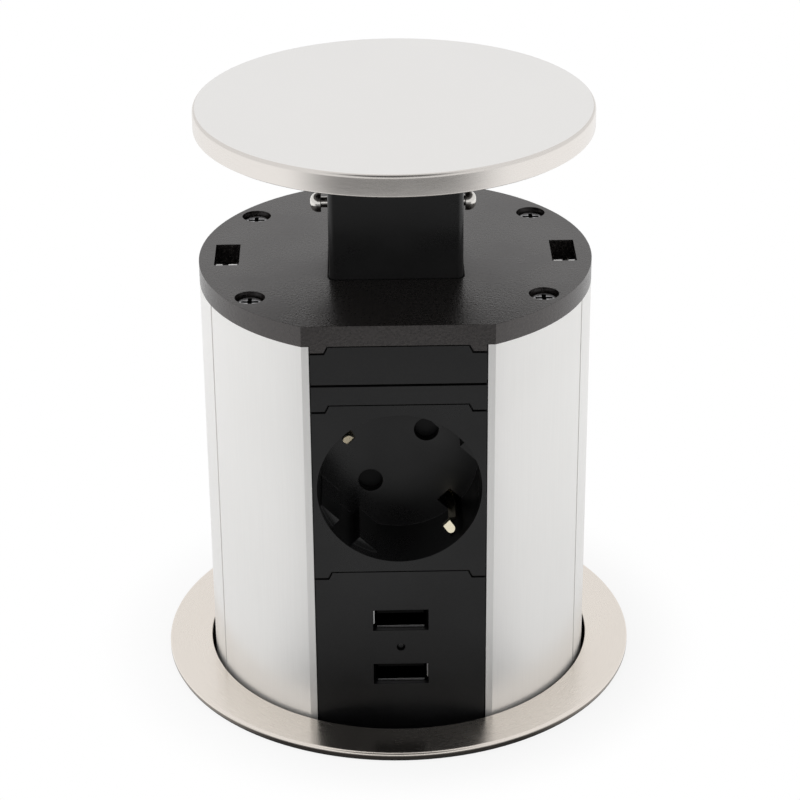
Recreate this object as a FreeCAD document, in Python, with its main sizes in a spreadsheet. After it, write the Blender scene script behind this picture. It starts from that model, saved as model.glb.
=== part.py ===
import FreeCAD, Part
import math
import os
import re
import Sketcher

# Pop-up worktop socket tower, in millimetres.
# Z points up, z = 0 is the worktop under the trim ring, and the front socket faces -Y.
# The tower is drawn fully raised, as it stands in use.

SIZES = {
    # Round trim ring, seal and threaded collar in the worktop
    "seal_thick": 0.5,
    "seal_inset": 0.3,
    "seal_clear": 1.1,
    "collar_flange_thick": 0.8,
    "collar_flange_wide": 5.0,
    "collar_wall": 2.1,
    "collar_clear": 1.4,
    "collar_depth": 66.0,
    "thread_start": 22.0,
    "thread_deep": 0.7,
    "trim_wide": 10.3,
    "trim_lap": 0.1,
    "trim_sheet": 0.8,
    "trim_bevel": 2.6,
    "trim_drop": 0.6,
    "trim_hem": 1.2,
    # Guide blocks in the foot of the collar, with their felt brake pads
    "block_high": 24.0,
    "block_fit": 0.1,
    "run_gap": 0.3,
    "pad_wide": 18.0,
    "pad_thick": 2.0,
    "pad_high": 12.0,
    "pad_run_gap": 0.1,
    "pad_lift": 6.0,
    # Clamp under the worktop
    "worktop_thick": 38.0,
    "washer_wide": 10.6,
    "washer_thick": 3.0,
    "washer_gap": 0.6,
    "nut_wall": 7.1,
    "nut_height": 12.0,
    "nut_gap": 0.6,
    "nut_grip_out": 3.0,
    # Tower outline
    "tower_r": 47.0,
    "plate_top": 106.0,
    "plate_thick": 5.0,
    "stop_gap": 0.2,
    # Aluminium side extrusions
    "shell_wall": 2.0,
    "lip_wide": 1.65,
    "lip_thick": 1.2,
    "slide_slot": 1.9,
    "slide_deep": 2.2,
    "rib_thick": 1.5,
    "rib_back": 0.8,
    "channel_in": 9.8,
    "channel_wall": 1.3,
    "channel_half": 7.3,
    "channel_slot_in": 6.1,
    "channel_slot": 1.4,
    "port_in": 4.92,
    "port_angle": 36.1,
    "port_half": 2.9,
    "port_hole_fit": 0.05,
    "score_angle": 22.3,
    "score_wide": 0.7,
    "score_deep": 0.4,
    # Top plate details
    "window_in": 9.7,
    "window_wide": 5.9,
    "window_long": 12.6,
    "window_shift": 0.6,
    "screw_sink_fit": 0.45,
    "screw_sink": 3.2,
    "screw_hole_fit": 0.5,
    # Case screws
    "case_head_r": 3.1,
    "case_head": 2.1,
    "case_shank_r": 1.4,
    "case_shank": 9.0,
    # Front and back panels that slide in the shells
    "face_gap": 0.3,
    "slide_fit": 0.1,
    "tongue_gap": 0.3,
    "ear_x": 16.3,
    "ear_high": 1.6,
    "ear_slant": 0.8,
    "seam": 0.25,
    "blank_high": 9.4,
    "blank_seam": 0.6,
    "filler_high": 4.6,
    "module_edge": 1.75,
    # Earthed socket
    "pin_angle": 45.0,
    "pin_half": 9.5,
    "pin_hole_r": 2.95,
    "well_r": 19.25,
    "well_deep": 17.5,
    "cup_wall": 0.85,
    "floor_thick": 2.0,
    "fin_tall": 2.5,
    "fin_rooted": 0.1,
    "fin_near": 3.3,
    "fin_long": 5.8,
    "fin_sunk": 3.0,
    "clip_slot_half": 2.1,
    "clip_slot_inside": 4.0,
    "clip_slot_outside": 0.65,
    "clip_slot_sunk": 4.0,
    "chamber_deep": 2.6,
    "carrier_fit": 0.1,
    "carrier_wall": 1.5,
    "carrier_disc": 2.0,
    "sleeve_half": 3.15,
    "sleeve_sheet": 0.7,
    "sleeve_fit": 0.1,
    "sleeve_tower_wall": 0.95,
    "sleeve_tail": 2.1,
    "strap_half": 1.1,
    "strap_thick": 0.6,
    "strap_inside": 0.95,
    "strap_touch_inside": 4.25,
    "strap_touch_deep": 4.0,
    "strap_lean": 3.5,
    "strap_flare": 3.0,
    "strap_flare_front": 1.7,
    "pivot_r": 1.5,
    "pivot_gap": 0.06,
    "leaf_near": 8.0,
    "leaf_far": 5.0,
    "leaf_half": 6.0,
    "leaf_thick": 0.3,
    "shutter_thick": 1.6,
    "shutter_gap": 0.4,
    "hub_r": 3.4,
    "vane_past": 0.15,
    "vane_root": 2.2,
    "vane_tip": 4.6,
    # Charger module
    "port_open_wide": 13.3,
    "port_open_high": 5.7,
    "port_fit": 0.1,
    "port_sheet": 0.3,
    "port_sunk": 0.6,
    "port_long": 13.8,
    "port_pitch": 15.0,
    "lamp_above": 1.05,
    "lamp_r": 1.0,
    "lamp_fit": 0.05,
    "lamp_long": 4.0,
    "blade_side": 1.05,
    "blade_thick": 1.9,
    "blade_rise": 1.05,
    "blade_sunk": 2.7,
    "blade_base": 2.0,
    "board_x": 18.0,
    "board_margin": 2.0,
    "board_thick": 1.6,
    "boss_x": 16.0,
    "boss_half": 2.0,
    "boss_margin": 3.5,
    "transformer_wide": 15.0,
    "transformer_high": 13.0,
    "transformer_deep": 13.0,
    "transformer_x": 6.5,
    "capacitor_half": 4.0,
    "capacitor_long": 12.0,
    "capacitor_x": 10.5,
    "feed_half": 1.5,
    "feed_thick": 0.8,
    "feed_drop": 6.0,
    # Supply bars and terminals
    "bar_half": 2.4,
    "bar_thick": 1.0,
    "bar_above": 12.0,
    "earth_half": 1.8,
    "earth_thick": 0.8,
    "terminal_x": 13.0,
    "terminal_y": 8.0,
    "terminal_high": 16.0,
    "terminal_slot": 8.0,
    "terminal_fit": 0.1,
    "wire_half": 1.5,
    # Foot of the tower and the cord inlet
    "foot_lap": 1.2,
    "foot_thick": 5.0,
    "gland_y": 24.0,
    "gland_bore_r": 4.0,
    "gland_shank_r": 6.0,
    "gland_hole_fit": 0.1,
    "gland_hex_r": 8.5,
    "gland_hex": 4.0,
    "gland_above": 8.0,
    "gland_nut_r": 7.6,
    "gland_nut": 12.0,
    # Lid and its sprung post
    "lid_clear": 1.2,
    "lid_rise": 38.5,
    "lid_rim": 5.4,
    "lid_sheet": 1.0,
    "lid_bevel": 0.6,
    "base_fit": 0.1,
    "base_sunk": 0.5,
    "post_x": 15.8,
    "post_y": 15.4,
    "post_wall": 2.4,
    "post_round": 1.6,
    "post_gap": 0.3,
    "stem_fit": 0.15,
    "stem_core_x": 9.5,
    "stem_core_y": 9.0,
    "stem_foot": 3.5,
    "post_lip": 1.2,
    "post_lip_thick": 2.4,
    "post_stop_gap": 0.1,
    "post_web": 2.0,
    "web_gap": 2.0,
    "lid_travel": 11.0,
    "guide_wall": 1.6,
    "guide_gap": 0.3,
    "guide_floor": 1.8,
    "guide_floor_gap": 0.5,
    "guide_flange": 2.0,
    "guide_flange_out": 4.0,
    "pin_rise": 13.5,
    "pin_shift": -0.4,
    "pin_r": 1.3,
    "pin_gap": 0.05,
    "pin_head_r": 2.4,
    "pin_head": 2.6,
    "pin_out": 1.3,
    "coil_r": 8.5,
    "coil_half": 0.7,
}

# Places that follow from the sizes above. Heights are along Z, depths along -Y on the front.
DERIVED = {
    "collar_bore_r": "tower_r + collar_clear",
    "collar_r": "collar_bore_r + collar_wall",
    "collar_flange_r": "collar_r + collar_flange_wide",
    "trim_bore_r": "collar_bore_r - trim_lap",
    "trim_r": "trim_bore_r + trim_wide",
    "seal_r": "trim_r - seal_inset",
    "seal_bore_r": "collar_r + seal_clear",
    "washer_bore_r": "collar_core_r + washer_gap",
    "washer_r": "washer_bore_r + washer_wide",
    "nut_r": "nut_bore_r + nut_wall",
    "foot_r": "collar_bore_r + foot_lap",
    "cup_half": "well_r + cup_wall",
    "module_high": "2 * (cup_half + module_edge)",
    "face_x": "cup_half",
    "lip_x": "face_x + face_gap",
    "flat_half": "lip_x + lip_wide",
    "flat_y": "sqrt(tower_r ^ 2 - flat_half ^ 2)",
    "slide_x": "lip_x + slide_deep",
    "rib_x": "lip_x + rib_back",
    "tongue_x": "slide_x - tongue_gap",
    "channel_x": "tower_r - channel_in",
    "channel_slot_x": "tower_r - channel_slot_in",
    "window_x": "tower_r - window_in",
    "port_x": "(tower_r - port_in) * cos(port_angle)",
    "port_y": "(tower_r - port_in) * sin(port_angle)",
    "port_hole_r": "case_shank_r + port_hole_fit",
    "screw_sink_r": "case_head_r + screw_sink_fit",
    "screw_hole_r": "case_shank_r + screw_hole_fit",
    "fin_chord": "well_r - fin_tall",
    "fin_root": "well_r - fin_rooted",
    "clip_slot_in": "well_r - clip_slot_inside",
    "clip_slot_out": "well_r + clip_slot_outside",
    "carrier_half": "cup_half - carrier_fit",
    "sleeve_bore_half": "sleeve_half - sleeve_sheet",
    "sleeve_tower_half": "sleeve_half + sleeve_fit + sleeve_tower_wall",
    "strap_z": "well_r - strap_inside",
    "strap_touch_z": "well_r - strap_touch_inside",
    "strap_touch_y": "flat_y - strap_touch_deep",
    "vane_reach": "pin_half + pin_hole_r + vane_past",
    "lamp_z": "charger_bottom + module_high / 2 + lamp_above",
    "blade_wide": "port_open_wide - 2 * blade_side",
    "lid_r": "trim_bore_r - lid_clear",
    "lid_top": "plate_top + lid_rise",
    "pin_z": "plate_top + pin_rise",
    "web_below_pin": "stem_foot + web_gap",
    "guide_flange_x": "guide_x + guide_wall + guide_flange_out",
    "guide_flange_y": "guide_y + guide_wall + guide_flange_out",
    "collar_flange_top": "seal_thick + collar_flange_thick",
    "collar_core_r": "collar_r - thread_deep",
    "trim_top": "collar_flange_top + trim_sheet",
    "collar_bottom": "-collar_depth",
    "block_flat": "flat_y + run_gap",
    "pad_low": "collar_bottom + pad_lift",
    "washer_bottom": "-worktop_thick - washer_thick",
    "nut_bottom": "washer_bottom - nut_height",
    "nut_bore_r": "collar_core_r + nut_gap",
    "nut_grip_r": "nut_r + nut_grip_out",
    "shell_top": "plate_top - plate_thick",
    "shell_bottom": "collar_bottom - stop_gap",
    "foot_bottom": "shell_bottom - foot_thick",
    "screw_seat": "plate_top - screw_sink",
    "slide_front": "flat_y - lip_thick",
    "slide_back": "slide_front - slide_slot",
    "tongue_front": "slide_front - slide_fit",
    "tongue_back": "slide_back + slide_fit",
    "blank_top": "shell_top - seam",
    "blank_bottom": "blank_top - blank_high",
    "filler_top": "blank_bottom - blank_seam",
    "filler_bottom": "filler_top - filler_high",
    "socket_top": "filler_bottom - seam",
    "socket_bottom": "socket_top - module_high",
    "socket_z": "socket_bottom + module_high / 2",
    "charger_top": "socket_bottom - seam",
    "charger_bottom": "charger_top - module_high",
    "lower_top": "charger_bottom - seam",
    "floor_front": "flat_y - well_deep",
    "floor_back": "floor_front - floor_thick",
    "disc_front": "floor_back - chamber_deep",
    "disc_back": "disc_front - carrier_disc",
    "shutter_front": "floor_back - shutter_gap",
    "shutter_back": "shutter_front - shutter_thick",
    "sleeve_front": "disc_front - sleeve_fit",
    "bar_face": "bar_thick / 2",
    "tower_end": "bar_face + sleeve_tail",
    "bar_x": "pin_half * sin(pin_angle)",
    "bar_top": "socket_z + bar_above",
    "bar_low": "terminal_top - terminal_slot",
    "terminal_top": "shell_bottom + terminal_high",
    "port_mid": "lamp_z",
    "port_front": "flat_y - port_sunk",
    "board_front": "port_front - port_long",
    "board_back": "board_front - board_thick",
    "lid_underside": "lid_top - lid_rim",
    "base_top": "lid_top - lid_sheet",
    "base_bottom": "lid_underside + base_sunk",
    "lip_top": "shell_top - post_stop_gap",
    "lip_bottom": "lip_top - post_lip_thick",
    "web_top": "pin_z - web_below_pin",
    "web_bottom": "web_top - post_web",
    "guide_floor_top": "lip_bottom - lid_travel - guide_floor_gap",
    "guide_bottom": "guide_floor_top - guide_floor",
    "guide_x": "post_x + post_lip + guide_gap",
    "guide_y": "post_y + post_lip + guide_gap",
}

NAMES = re.compile(r"[a-z][a-z_0-9]*")
PLANES = {"XY": ("XY_Plane", 1), "XZ": ("XZ_Plane", -1), "YZ": ("YZ_Plane", 1)}
GRIP_COUNT = 12
COIL_TURNS = 5
COIL_STEPS = 12

doc = FreeCAD.newDocument("SocketTower")
sheet = doc.addObject("Spreadsheet::Sheet", "Sizes")
for row, (alias, value) in enumerate(SIZES.items(), start=1):
    sheet.set(f"A{row}", alias)
    sheet.set(f"B{row}", str(value))
    sheet.setAlias(f"B{row}", alias)
doc.recompute()

pieces = []


def bound(text):
    """Return an expression in which every size name points at its cell in the sheet."""

    def swap(match):
        word = match.group(0)
        if word in DERIVED:
            return "(" + bound(DERIVED[word]) + ")"
        if word in SIZES:
            return "Sizes." + word
        return word

    return NAMES.sub(swap, text)


def number_of(text):
    """Work out a place in millimetres from the sheet, where no expression can be bound."""
    total = 0.0
    for sign, word in re.findall(r"([+-]?)\s*([a-z_0-9]+)", text):
        value = number_of(DERIVED[word]) if word in DERIVED else sheet.get(word) if word in SIZES else float(word)
        total += -value if sign == "-" else value
    return total


def keep(item, label):
    """Name an object and list it for export."""
    item.Label = label
    pieces.append(item)
    return item


def new_body(label, turn=0.0, on_socket=False):
    """Start a piece. turn spins it about Z, and on_socket puts its origin on the socket's centre."""
    item = doc.addObject("PartDesign::Body", label)
    rotation = FreeCAD.Rotation(FreeCAD.Vector(0, 0, 1), turn)
    if on_socket:
        spin = FreeCAD.Rotation(FreeCAD.Vector(0, -1, 0), SIZES["pin_angle"])
        item.Placement = FreeCAD.Placement(FreeCAD.Vector(), rotation.multiply(spin))
        item.setExpression("Placement.Base.z", bound("socket_z"))
    else:
        item.Placement = FreeCAD.Placement(FreeCAD.Vector(), rotation)
    return item


def origin_part(owner, role):
    """Find one of the body's own origin planes or axes."""
    return [feature for feature in owner.Origin.OriginFeatures if feature.Role == role][0]


def new_sketch(owner, plane, at="0", centre=("0", "0"), spin="0"):
    """Attach a sketch to an origin plane, moved along its world axis to at."""
    role, sign = PLANES[plane]
    item = owner.newObject("Sketcher::SketchObject", "Outline")
    item.AttachmentSupport = [(origin_part(owner, role), "")]
    item.MapMode = "FlatFace"
    item.AttachmentOffset = FreeCAD.Placement(FreeCAD.Vector(), FreeCAD.Rotation(0, 0, 0))
    item.setExpression("AttachmentOffset.Base.x", bound(centre[0]))
    item.setExpression("AttachmentOffset.Base.y", bound(centre[1]))
    item.setExpression("AttachmentOffset.Base.z", bound(f"{sign} * ({at})"))
    if spin != "0":
        item.AttachmentOffset = FreeCAD.Placement(FreeCAD.Vector(), FreeCAD.Rotation(FreeCAD.Vector(0, 0, 1), 1))
        item.setExpression("AttachmentOffset.Rotation.Angle", bound(spin))
    return item


def pin_point(item, shape, end, x, y):
    """Bind one point of a sketch to two coordinates."""
    for kind, text, axis in (("DistanceX", x, -2), ("DistanceY", y, -1)):
        if text == "0":
            item.addConstraint(Sketcher.Constraint("PointOnObject", shape, end, axis))
            continue
        number = item.addConstraint(Sketcher.Constraint(kind, -1, 1, shape, end, 1.0))
        item.renameConstraint(number, f"{kind}{number}")
        item.setExpression(f"Constraints.{kind}{number}", bound(text))


def circle(item, x, y, radius):
    """Draw a circle with its centre and radius bound."""
    shape = item.addGeometry(Part.Circle(FreeCAD.Vector(1, 1, 0), FreeCAD.Vector(0, 0, 1), 2), False)
    number = item.addConstraint(Sketcher.Constraint("Radius", shape, 2))
    item.renameConstraint(number, f"Radius{number}")
    item.setExpression(f"Constraints.Radius{number}", bound(radius))
    pin_point(item, shape, 3, x, y)


def polygon(item, corners):
    """Draw a closed outline of straight lines through the given corners."""
    count = len(corners)
    ring = []
    for index in range(count):
        angle = 2 * math.pi * index / count
        ring.append(FreeCAD.Vector(10 * math.cos(angle), 10 * math.sin(angle), 0))
    lines = [Part.LineSegment(ring[index], ring[(index + 1) % count]) for index in range(count)]
    first = item.addGeometry(lines, False)[0]
    for index, (x, y) in enumerate(corners):
        item.addConstraint(Sketcher.Constraint("Coincident", first + index - 1 if index else first + count - 1, 2,
                                               first + index, 1))
        pin_point(item, first + index, 1, x, y)


def rectangle(item, left, low, right, high):
    """Draw a rectangle between two bound corners."""
    polygon(item, [(left, low), (right, low), (right, high), (left, high)])


def hexagon(s, radius):
    """Draw a hexagon about the sketch's centre."""
    polygon(s, [(f"({radius}) * cos({60 * step})", f"({radius}) * sin({60 * step})") if step % 3 else
                (f"{'' if step == 0 else '-'}({radius})", "0") for step in range(6)])


def flatted_disc(item, radius, flat):
    """Draw a circle with two flats across Y, both bound."""
    guess_r = SIZES["tower_r"]
    guess_x = number_of("flat_half")
    guess_y = math.sqrt(guess_r ** 2 - guess_x ** 2)
    lean = math.atan2(guess_y, guess_x)
    up = FreeCAD.Vector(0, 0, 1)
    round_line = Part.Circle(FreeCAD.Vector(), up, guess_r)
    right = item.addGeometry(Part.ArcOfCircle(round_line, -lean, lean), False)
    left = item.addGeometry(Part.ArcOfCircle(round_line, math.pi - lean, math.pi + lean), False)
    top = item.addGeometry(Part.LineSegment(FreeCAD.Vector(guess_x, guess_y, 0),
                                            FreeCAD.Vector(-guess_x, guess_y, 0)), False)
    base = item.addGeometry(Part.LineSegment(FreeCAD.Vector(-guess_x, -guess_y, 0),
                                             FreeCAD.Vector(guess_x, -guess_y, 0)), False)
    for arc in (right, left):
        item.addConstraint(Sketcher.Constraint("Coincident", arc, 3, -1, 1))
    for one, end, other, start in ((right, 2, top, 1), (top, 2, left, 1), (left, 2, base, 1), (base, 2, right, 1)):
        item.addConstraint(Sketcher.Constraint("Coincident", one, end, other, start))
    item.addConstraint(Sketcher.Constraint("Equal", right, left))
    item.addConstraint(Sketcher.Constraint("Horizontal", top))
    item.addConstraint(Sketcher.Constraint("Horizontal", base))
    number = item.addConstraint(Sketcher.Constraint("Radius", right, guess_r))
    item.renameConstraint(number, "RoundRadius")
    item.setExpression("Constraints.RoundRadius", bound(radius))
    for name, line, sign in (("TopFlat", top, ""), ("BaseFlat", base, "-")):
        value = guess_y if not sign else -guess_y
        number = item.addConstraint(Sketcher.Constraint("DistanceY", -1, 1, line, 1, value))
        item.renameConstraint(number, name)
        item.setExpression(f"Constraints.{name}", bound(f"{sign}({flat})"))


def extrude(owner, draw, low, high, plane="XY", cut=False, centre=("0", "0"), spin="0"):
    """Pad or pocket an outline from low to high along the world axis across the plane."""
    profile = new_sketch(owner, plane, high if plane == "XZ" else low, centre, spin)
    draw(profile)
    feature = owner.newObject("PartDesign::Pocket" if cut else "PartDesign::Pad", "Cut" if cut else "Block")
    feature.Profile = profile
    feature.setExpression("Length", bound(f"({high}) - ({low})"))
    feature.Reversed = cut
    return feature


def revolve(owner, draw, centre=("0", "0"), spin="0"):
    """Turn an outline about the sketch's own upright axis."""
    profile = new_sketch(owner, "XZ", centre=centre, spin=spin)
    draw(profile)
    feature = owner.newObject("PartDesign::Revolution", "Turned")
    feature.Profile = profile
    feature.ReferenceAxis = (profile, ["V_Axis"])
    feature.Angle = 360.0
    return feature


def soften(owner, pick, radius):
    """Round the edges of the finished shape that pick accepts."""
    doc.recompute()
    base = owner.Tip
    names = [f"Edge{number}" for number, edge in enumerate(base.Shape.Edges, start=1) if pick(edge)]
    feature = owner.newObject("PartDesign::Fillet", "Fillet")
    feature.Base = (base, names)
    feature.setExpression("Radius", bound(radius))
    return feature


def is_upright(edge):
    """Say whether an edge is a straight line along Z."""
    box = edge.BoundBox
    return isinstance(edge.Curve, Part.Line) and box.XLength < 0.01 and box.YLength < 0.01


def mirrored(source, normal):
    """Mirror a finished piece through the origin."""
    item = doc.addObject("Part::Mirroring", "Mirror")
    item.Source = source
    item.Base = FreeCAD.Vector(0, 0, 0)
    item.Normal = FreeCAD.Vector(*normal)
    return item


def group(label, members):
    """Gather identical solids in one named piece."""
    item = doc.addObject("Part::Compound", label)
    item.Links = members
    return keep(item, label)


def in_four_corners(source, label):
    """Repeat a fastener in the four corners of the tower."""
    beside = mirrored(source, (1, 0, 0))
    return group(label, [source, beside, mirrored(source, (0, 1, 0)), mirrored(beside, (0, 1, 0))])


# Collar, trim and clamp, all turned about the tower's axis

def build_trim_ring():
    """Stainless ring with a bevelled rim and a hem that hides the edge of the seal."""
    ring = new_body("trim_ring")
    revolve(ring, lambda s: polygon(s, [
        ("trim_bore_r", "collar_flange_top"),
        ("trim_r - trim_hem", "collar_flange_top"),
        ("trim_r - trim_hem", "seal_thick"),
        ("trim_r", "seal_thick"),
        ("trim_r", "trim_top - trim_drop"),
        ("trim_r - trim_bevel", "trim_top"),
        ("trim_bore_r", "trim_top"),
    ]))
    keep(ring, "trim_ring")


def build_seal_ring():
    """Flat rubber ring between the trim and the worktop."""
    seal = new_body("seal_ring")

    def draw(s):
        circle(s, "0", "0", "seal_r")
        circle(s, "0", "0", "seal_bore_r")

    extrude(seal, draw, "0", "seal_thick")
    keep(seal, "seal_ring")


def build_threaded_collar():
    """Sleeve through the worktop, with a flange under the trim, drawn at the thread's root below its start."""
    collar = new_body("threaded_collar")
    revolve(collar, lambda s: polygon(s, [
        ("collar_bore_r", "collar_bottom"),
        ("collar_core_r", "collar_bottom"),
        ("collar_core_r", "-thread_start"),
        ("collar_r", "-thread_start"),
        ("collar_r", "seal_thick"),
        ("collar_flange_r", "seal_thick"),
        ("collar_flange_r", "collar_flange_top"),
        ("collar_bore_r", "collar_flange_top"),
    ]))
    keep(collar, "threaded_collar")


def build_guide_blocks():
    """Two blocks in the collar's foot that fill the tower's flats and keep it from turning."""
    block = new_body("guide_block")
    extrude(block, lambda s: circle(s, "0", "0", "collar_bore_r - block_fit"), "collar_bottom",
            "collar_bottom + block_high")
    extrude(block, lambda s: rectangle(s, "-collar_r * 1.5", "-block_flat", "collar_r * 1.5", "collar_r * 1.5"),
            "collar_bottom - 1", "collar_bottom + block_high + 1", cut=True)
    extrude(block, lambda s: rectangle(s, "-pad_wide / 2", "pad_low", "pad_wide / 2", "pad_low + pad_high"),
            "-(block_flat + pad_thick - pad_run_gap)", "-(block_flat - 1)", plane="XZ", cut=True)
    group("guide_blocks", [block, mirrored(block, (0, 1, 0))])


def build_brake_pads():
    """Felt pads that rub on the tower's flats and hold it at any height."""
    pad = new_body("brake_pad")
    extrude(pad, lambda s: rectangle(s, "-pad_wide / 2", "pad_low", "pad_wide / 2", "pad_low + pad_high"),
            "-(block_flat + pad_thick - pad_run_gap)", "-(flat_y + pad_run_gap)", plane="XZ")
    group("brake_pads", [pad, mirrored(pad, (0, 1, 0))])


def build_clamp():
    """Washer and ring nut that pull the collar down on the worktop."""
    washer = new_body("clamp_washer")

    def draw_washer(s):
        circle(s, "0", "0", "washer_r")
        circle(s, "0", "0", "washer_bore_r")

    extrude(washer, draw_washer, "washer_bottom", "-worktop_thick")
    keep(washer, "clamp_washer")

    nut = new_body("ring_nut")

    def toothed(s):
        corners = []
        for grip in range(GRIP_COUNT):
            for share, radius in ((-0.25, "nut_r"), (-0.2, "nut_grip_r"), (0.2, "nut_grip_r"), (0.25, "nut_r")):
                angle = 360 * (grip + 0.5 + share) / GRIP_COUNT
                corners.append((f"{radius} * cos({angle:g})", f"{radius} * sin({angle:g})"))
        polygon(s, corners)

    extrude(nut, toothed, "nut_bottom", "washer_bottom")
    extrude(nut, lambda s: circle(s, "0", "0", "nut_bore_r"), "nut_bottom - 1", "washer_bottom + 1", cut=True)
    keep(nut, "ring_nut")


# Tower shells and plates

def build_shells():
    """Aluminium extrusion with slides for the panels, an inner wall with a slotted channel, and screw ports."""
    shell = new_body("left_shell")

    def ring(s):
        circle(s, "0", "0", "tower_r")
        circle(s, "0", "0", "tower_r - shell_wall")

    def ribs(s):
        rectangle(s, "-slide_x - 2", "slide_back - rib_thick", "-lip_x", "tower_r")
        rectangle(s, "-slide_x - 2", "-tower_r", "-lip_x", "-(slide_back - rib_thick)")

    def channel(s):
        rectangle(s, "-(tower_r - shell_wall / 2)", "-(channel_half + channel_wall)",
                  "-(channel_x - channel_wall / 2)", "channel_half + channel_wall")

    def inner_wall(s):
        rectangle(s, "-channel_x", "-(port_y + port_half)", "-(channel_x - channel_wall)", "port_y + port_half")

    def ports(s):
        for side in ("", "-"):
            rectangle(s, "-(port_x + port_half)", f"{side}port_y - port_half", "-(port_x - port_half)",
                      f"{side}port_y + port_half")

    def outside(s):
        rectangle(s, "-tower_r * 1.5", "-tower_r * 1.5", "tower_r * 1.5", "tower_r * 1.5")
        circle(s, "0", "0", "tower_r")

    def beyond_flats(s):
        rectangle(s, "-tower_r * 1.5", "flat_y", "tower_r * 1.5", "tower_r * 1.5")
        rectangle(s, "-tower_r * 1.5", "-tower_r * 1.5", "tower_r * 1.5", "-flat_y")

    def hollows(s):
        rectangle(s, "-(tower_r - shell_wall)", "-channel_half", "-channel_x", "channel_half")
        for side in ("", "-"):
            circle(s, "-port_x", f"{side}port_y", "port_hole_r")

    def slides(s):
        rectangle(s, "-slide_x", "slide_back", "-(lip_x - 1)", "slide_front")
        rectangle(s, "-slide_x", "-slide_front", "-(lip_x - 1)", "-slide_back")

    def rib_ends(s):
        rectangle(s, "-rib_x", "slide_back - rib_thick - 1", "-(lip_x - 1)", "slide_back + slide_slot / 2")
        rectangle(s, "-rib_x", "-(slide_back + slide_slot / 2)", "-(lip_x - 1)", "-(slide_back - rib_thick - 1)")

    def slots(s):
        rectangle(s, "-(channel_slot_x + channel_slot / 2)", "channel_half - 1",
                  "-(channel_slot_x - channel_slot / 2)", "channel_half + channel_wall + 1")
        rectangle(s, "-(channel_slot_x + channel_slot / 2)", "-(channel_half + channel_wall + 1)",
                  "-(channel_slot_x - channel_slot / 2)", "-(channel_half - 1)")

    ends = ("shell_bottom", "shell_top")
    past = ("shell_bottom - 1", "shell_top + 1")
    extrude(shell, ring, *ends)
    extrude(shell, lambda s: rectangle(s, "-lip_x", "-tower_r * 1.5", "tower_r * 1.5", "tower_r * 1.5"), *past,
            cut=True)
    for draw in (ribs, channel, inner_wall, ports):
        extrude(shell, draw, *ends)
    for draw in (outside, beyond_flats, hollows, slides, rib_ends, slots):
        extrude(shell, draw, *past, cut=True)
    for side in ("180 - score_angle", "180 + score_angle"):
        extrude(shell, lambda s: rectangle(s, "tower_r - score_deep", "-score_wide / 2", "tower_r + 1",
                                           "score_wide / 2"), *past, cut=True, spin=side)
    keep(shell, "left_shell")
    keep(mirrored(shell, (1, 0, 0)), "right_shell")


def draw_ears(s, top, grow="0", rise="0"):
    """Draw the two small lugs that lap over the panel below."""
    for side in ("", "-"):
        polygon(s, [
            (f"{side}(face_x + {grow})", f"{top} + {rise}"),
            (f"{side}(face_x + {grow})", f"{top} - ear_high - {grow}"),
            (f"{side}(ear_x + ear_slant - {grow})", f"{top} - ear_high - {grow}"),
            (f"{side}(ear_x - {grow})", f"{top} - {grow}"),
            (f"{side}(ear_x - {grow})", f"{top} + {rise}"),
        ])


def build_top_plate():
    """Flatted cover with the post's hole, two windows, sunk screw seats and front lugs."""
    plate = new_body("top_plate")
    extrude(plate, lambda s: flatted_disc(s, "tower_r", "flat_y"), "shell_top", "plate_top")
    extrude(plate, lambda s: rectangle(s, "-(post_x + post_gap)", "-(post_y + post_gap)", "post_x + post_gap",
                                       "post_y + post_gap"), "shell_top - 1", "plate_top + 1", cut=True)
    soften(plate, lambda edge: is_upright(edge) and abs(edge.BoundBox.XMin) < SIZES["post_x"] + 1,
           "post_round + post_gap")
    for side in ("", "-"):
        left = "window_x" if not side else "-(window_x + window_wide)"
        right = "window_x + window_wide" if not side else "-window_x"
        extrude(plate, lambda s: rectangle(s, left, "window_shift - window_long / 2", right,
                                           "window_shift + window_long / 2"), "shell_top - 1", "plate_top + 1",
                cut=True)

    for x_side in ("", "-"):
        for y_side in ("", "-"):
            spot = (f"{x_side}port_x", f"{y_side}port_y")
            extrude(plate, lambda s: circle(s, "0", "0", "screw_sink_r"), "screw_seat", "plate_top + 1", cut=True,
                    centre=spot)
            extrude(plate, lambda s: hexagon(s, "screw_hole_r"), "shell_top - 1", "screw_seat", cut=True,
                    centre=spot)

    extrude(plate, lambda s: draw_ears(s, "shell_top", rise="0.3"), "-flat_y", "-tongue_front", plane="XZ")
    extrude(plate, lambda s: draw_ears(s, "shell_top", rise="0.3"), "tongue_front", "flat_y", plane="XZ")
    keep(plate, "top_plate")


def build_case_screws():
    """Screws that hold the top plate to the shells, with a three-lobed thread core and a plain head."""
    screw = new_body("top_plate_screw")
    spot = ("port_x", "port_y")
    extrude(screw, lambda s: circle(s, "0", "0", "case_head_r"), "screw_seat", "screw_seat + case_head",
            centre=spot)
    extrude(screw, lambda s: hexagon(s, "case_shank_r"), "screw_seat - case_shank", "screw_seat", centre=spot)
    in_four_corners(screw, "top_plate_screws")


def build_foot_plate():
    """Round foot that closes the tower and stops it at the collar's end when it is raised."""
    foot = new_body("foot_plate")

    extrude(foot, lambda s: circle(s, "0", "0", "foot_r"), "foot_bottom", "shell_bottom")
    extrude(foot, lambda s: hexagon(s, "gland_shank_r + gland_hole_fit"), "foot_bottom - 1", "shell_bottom + 1",
            cut=True, centre=("0", "gland_y"))
    keep(foot, "foot_plate")


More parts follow.
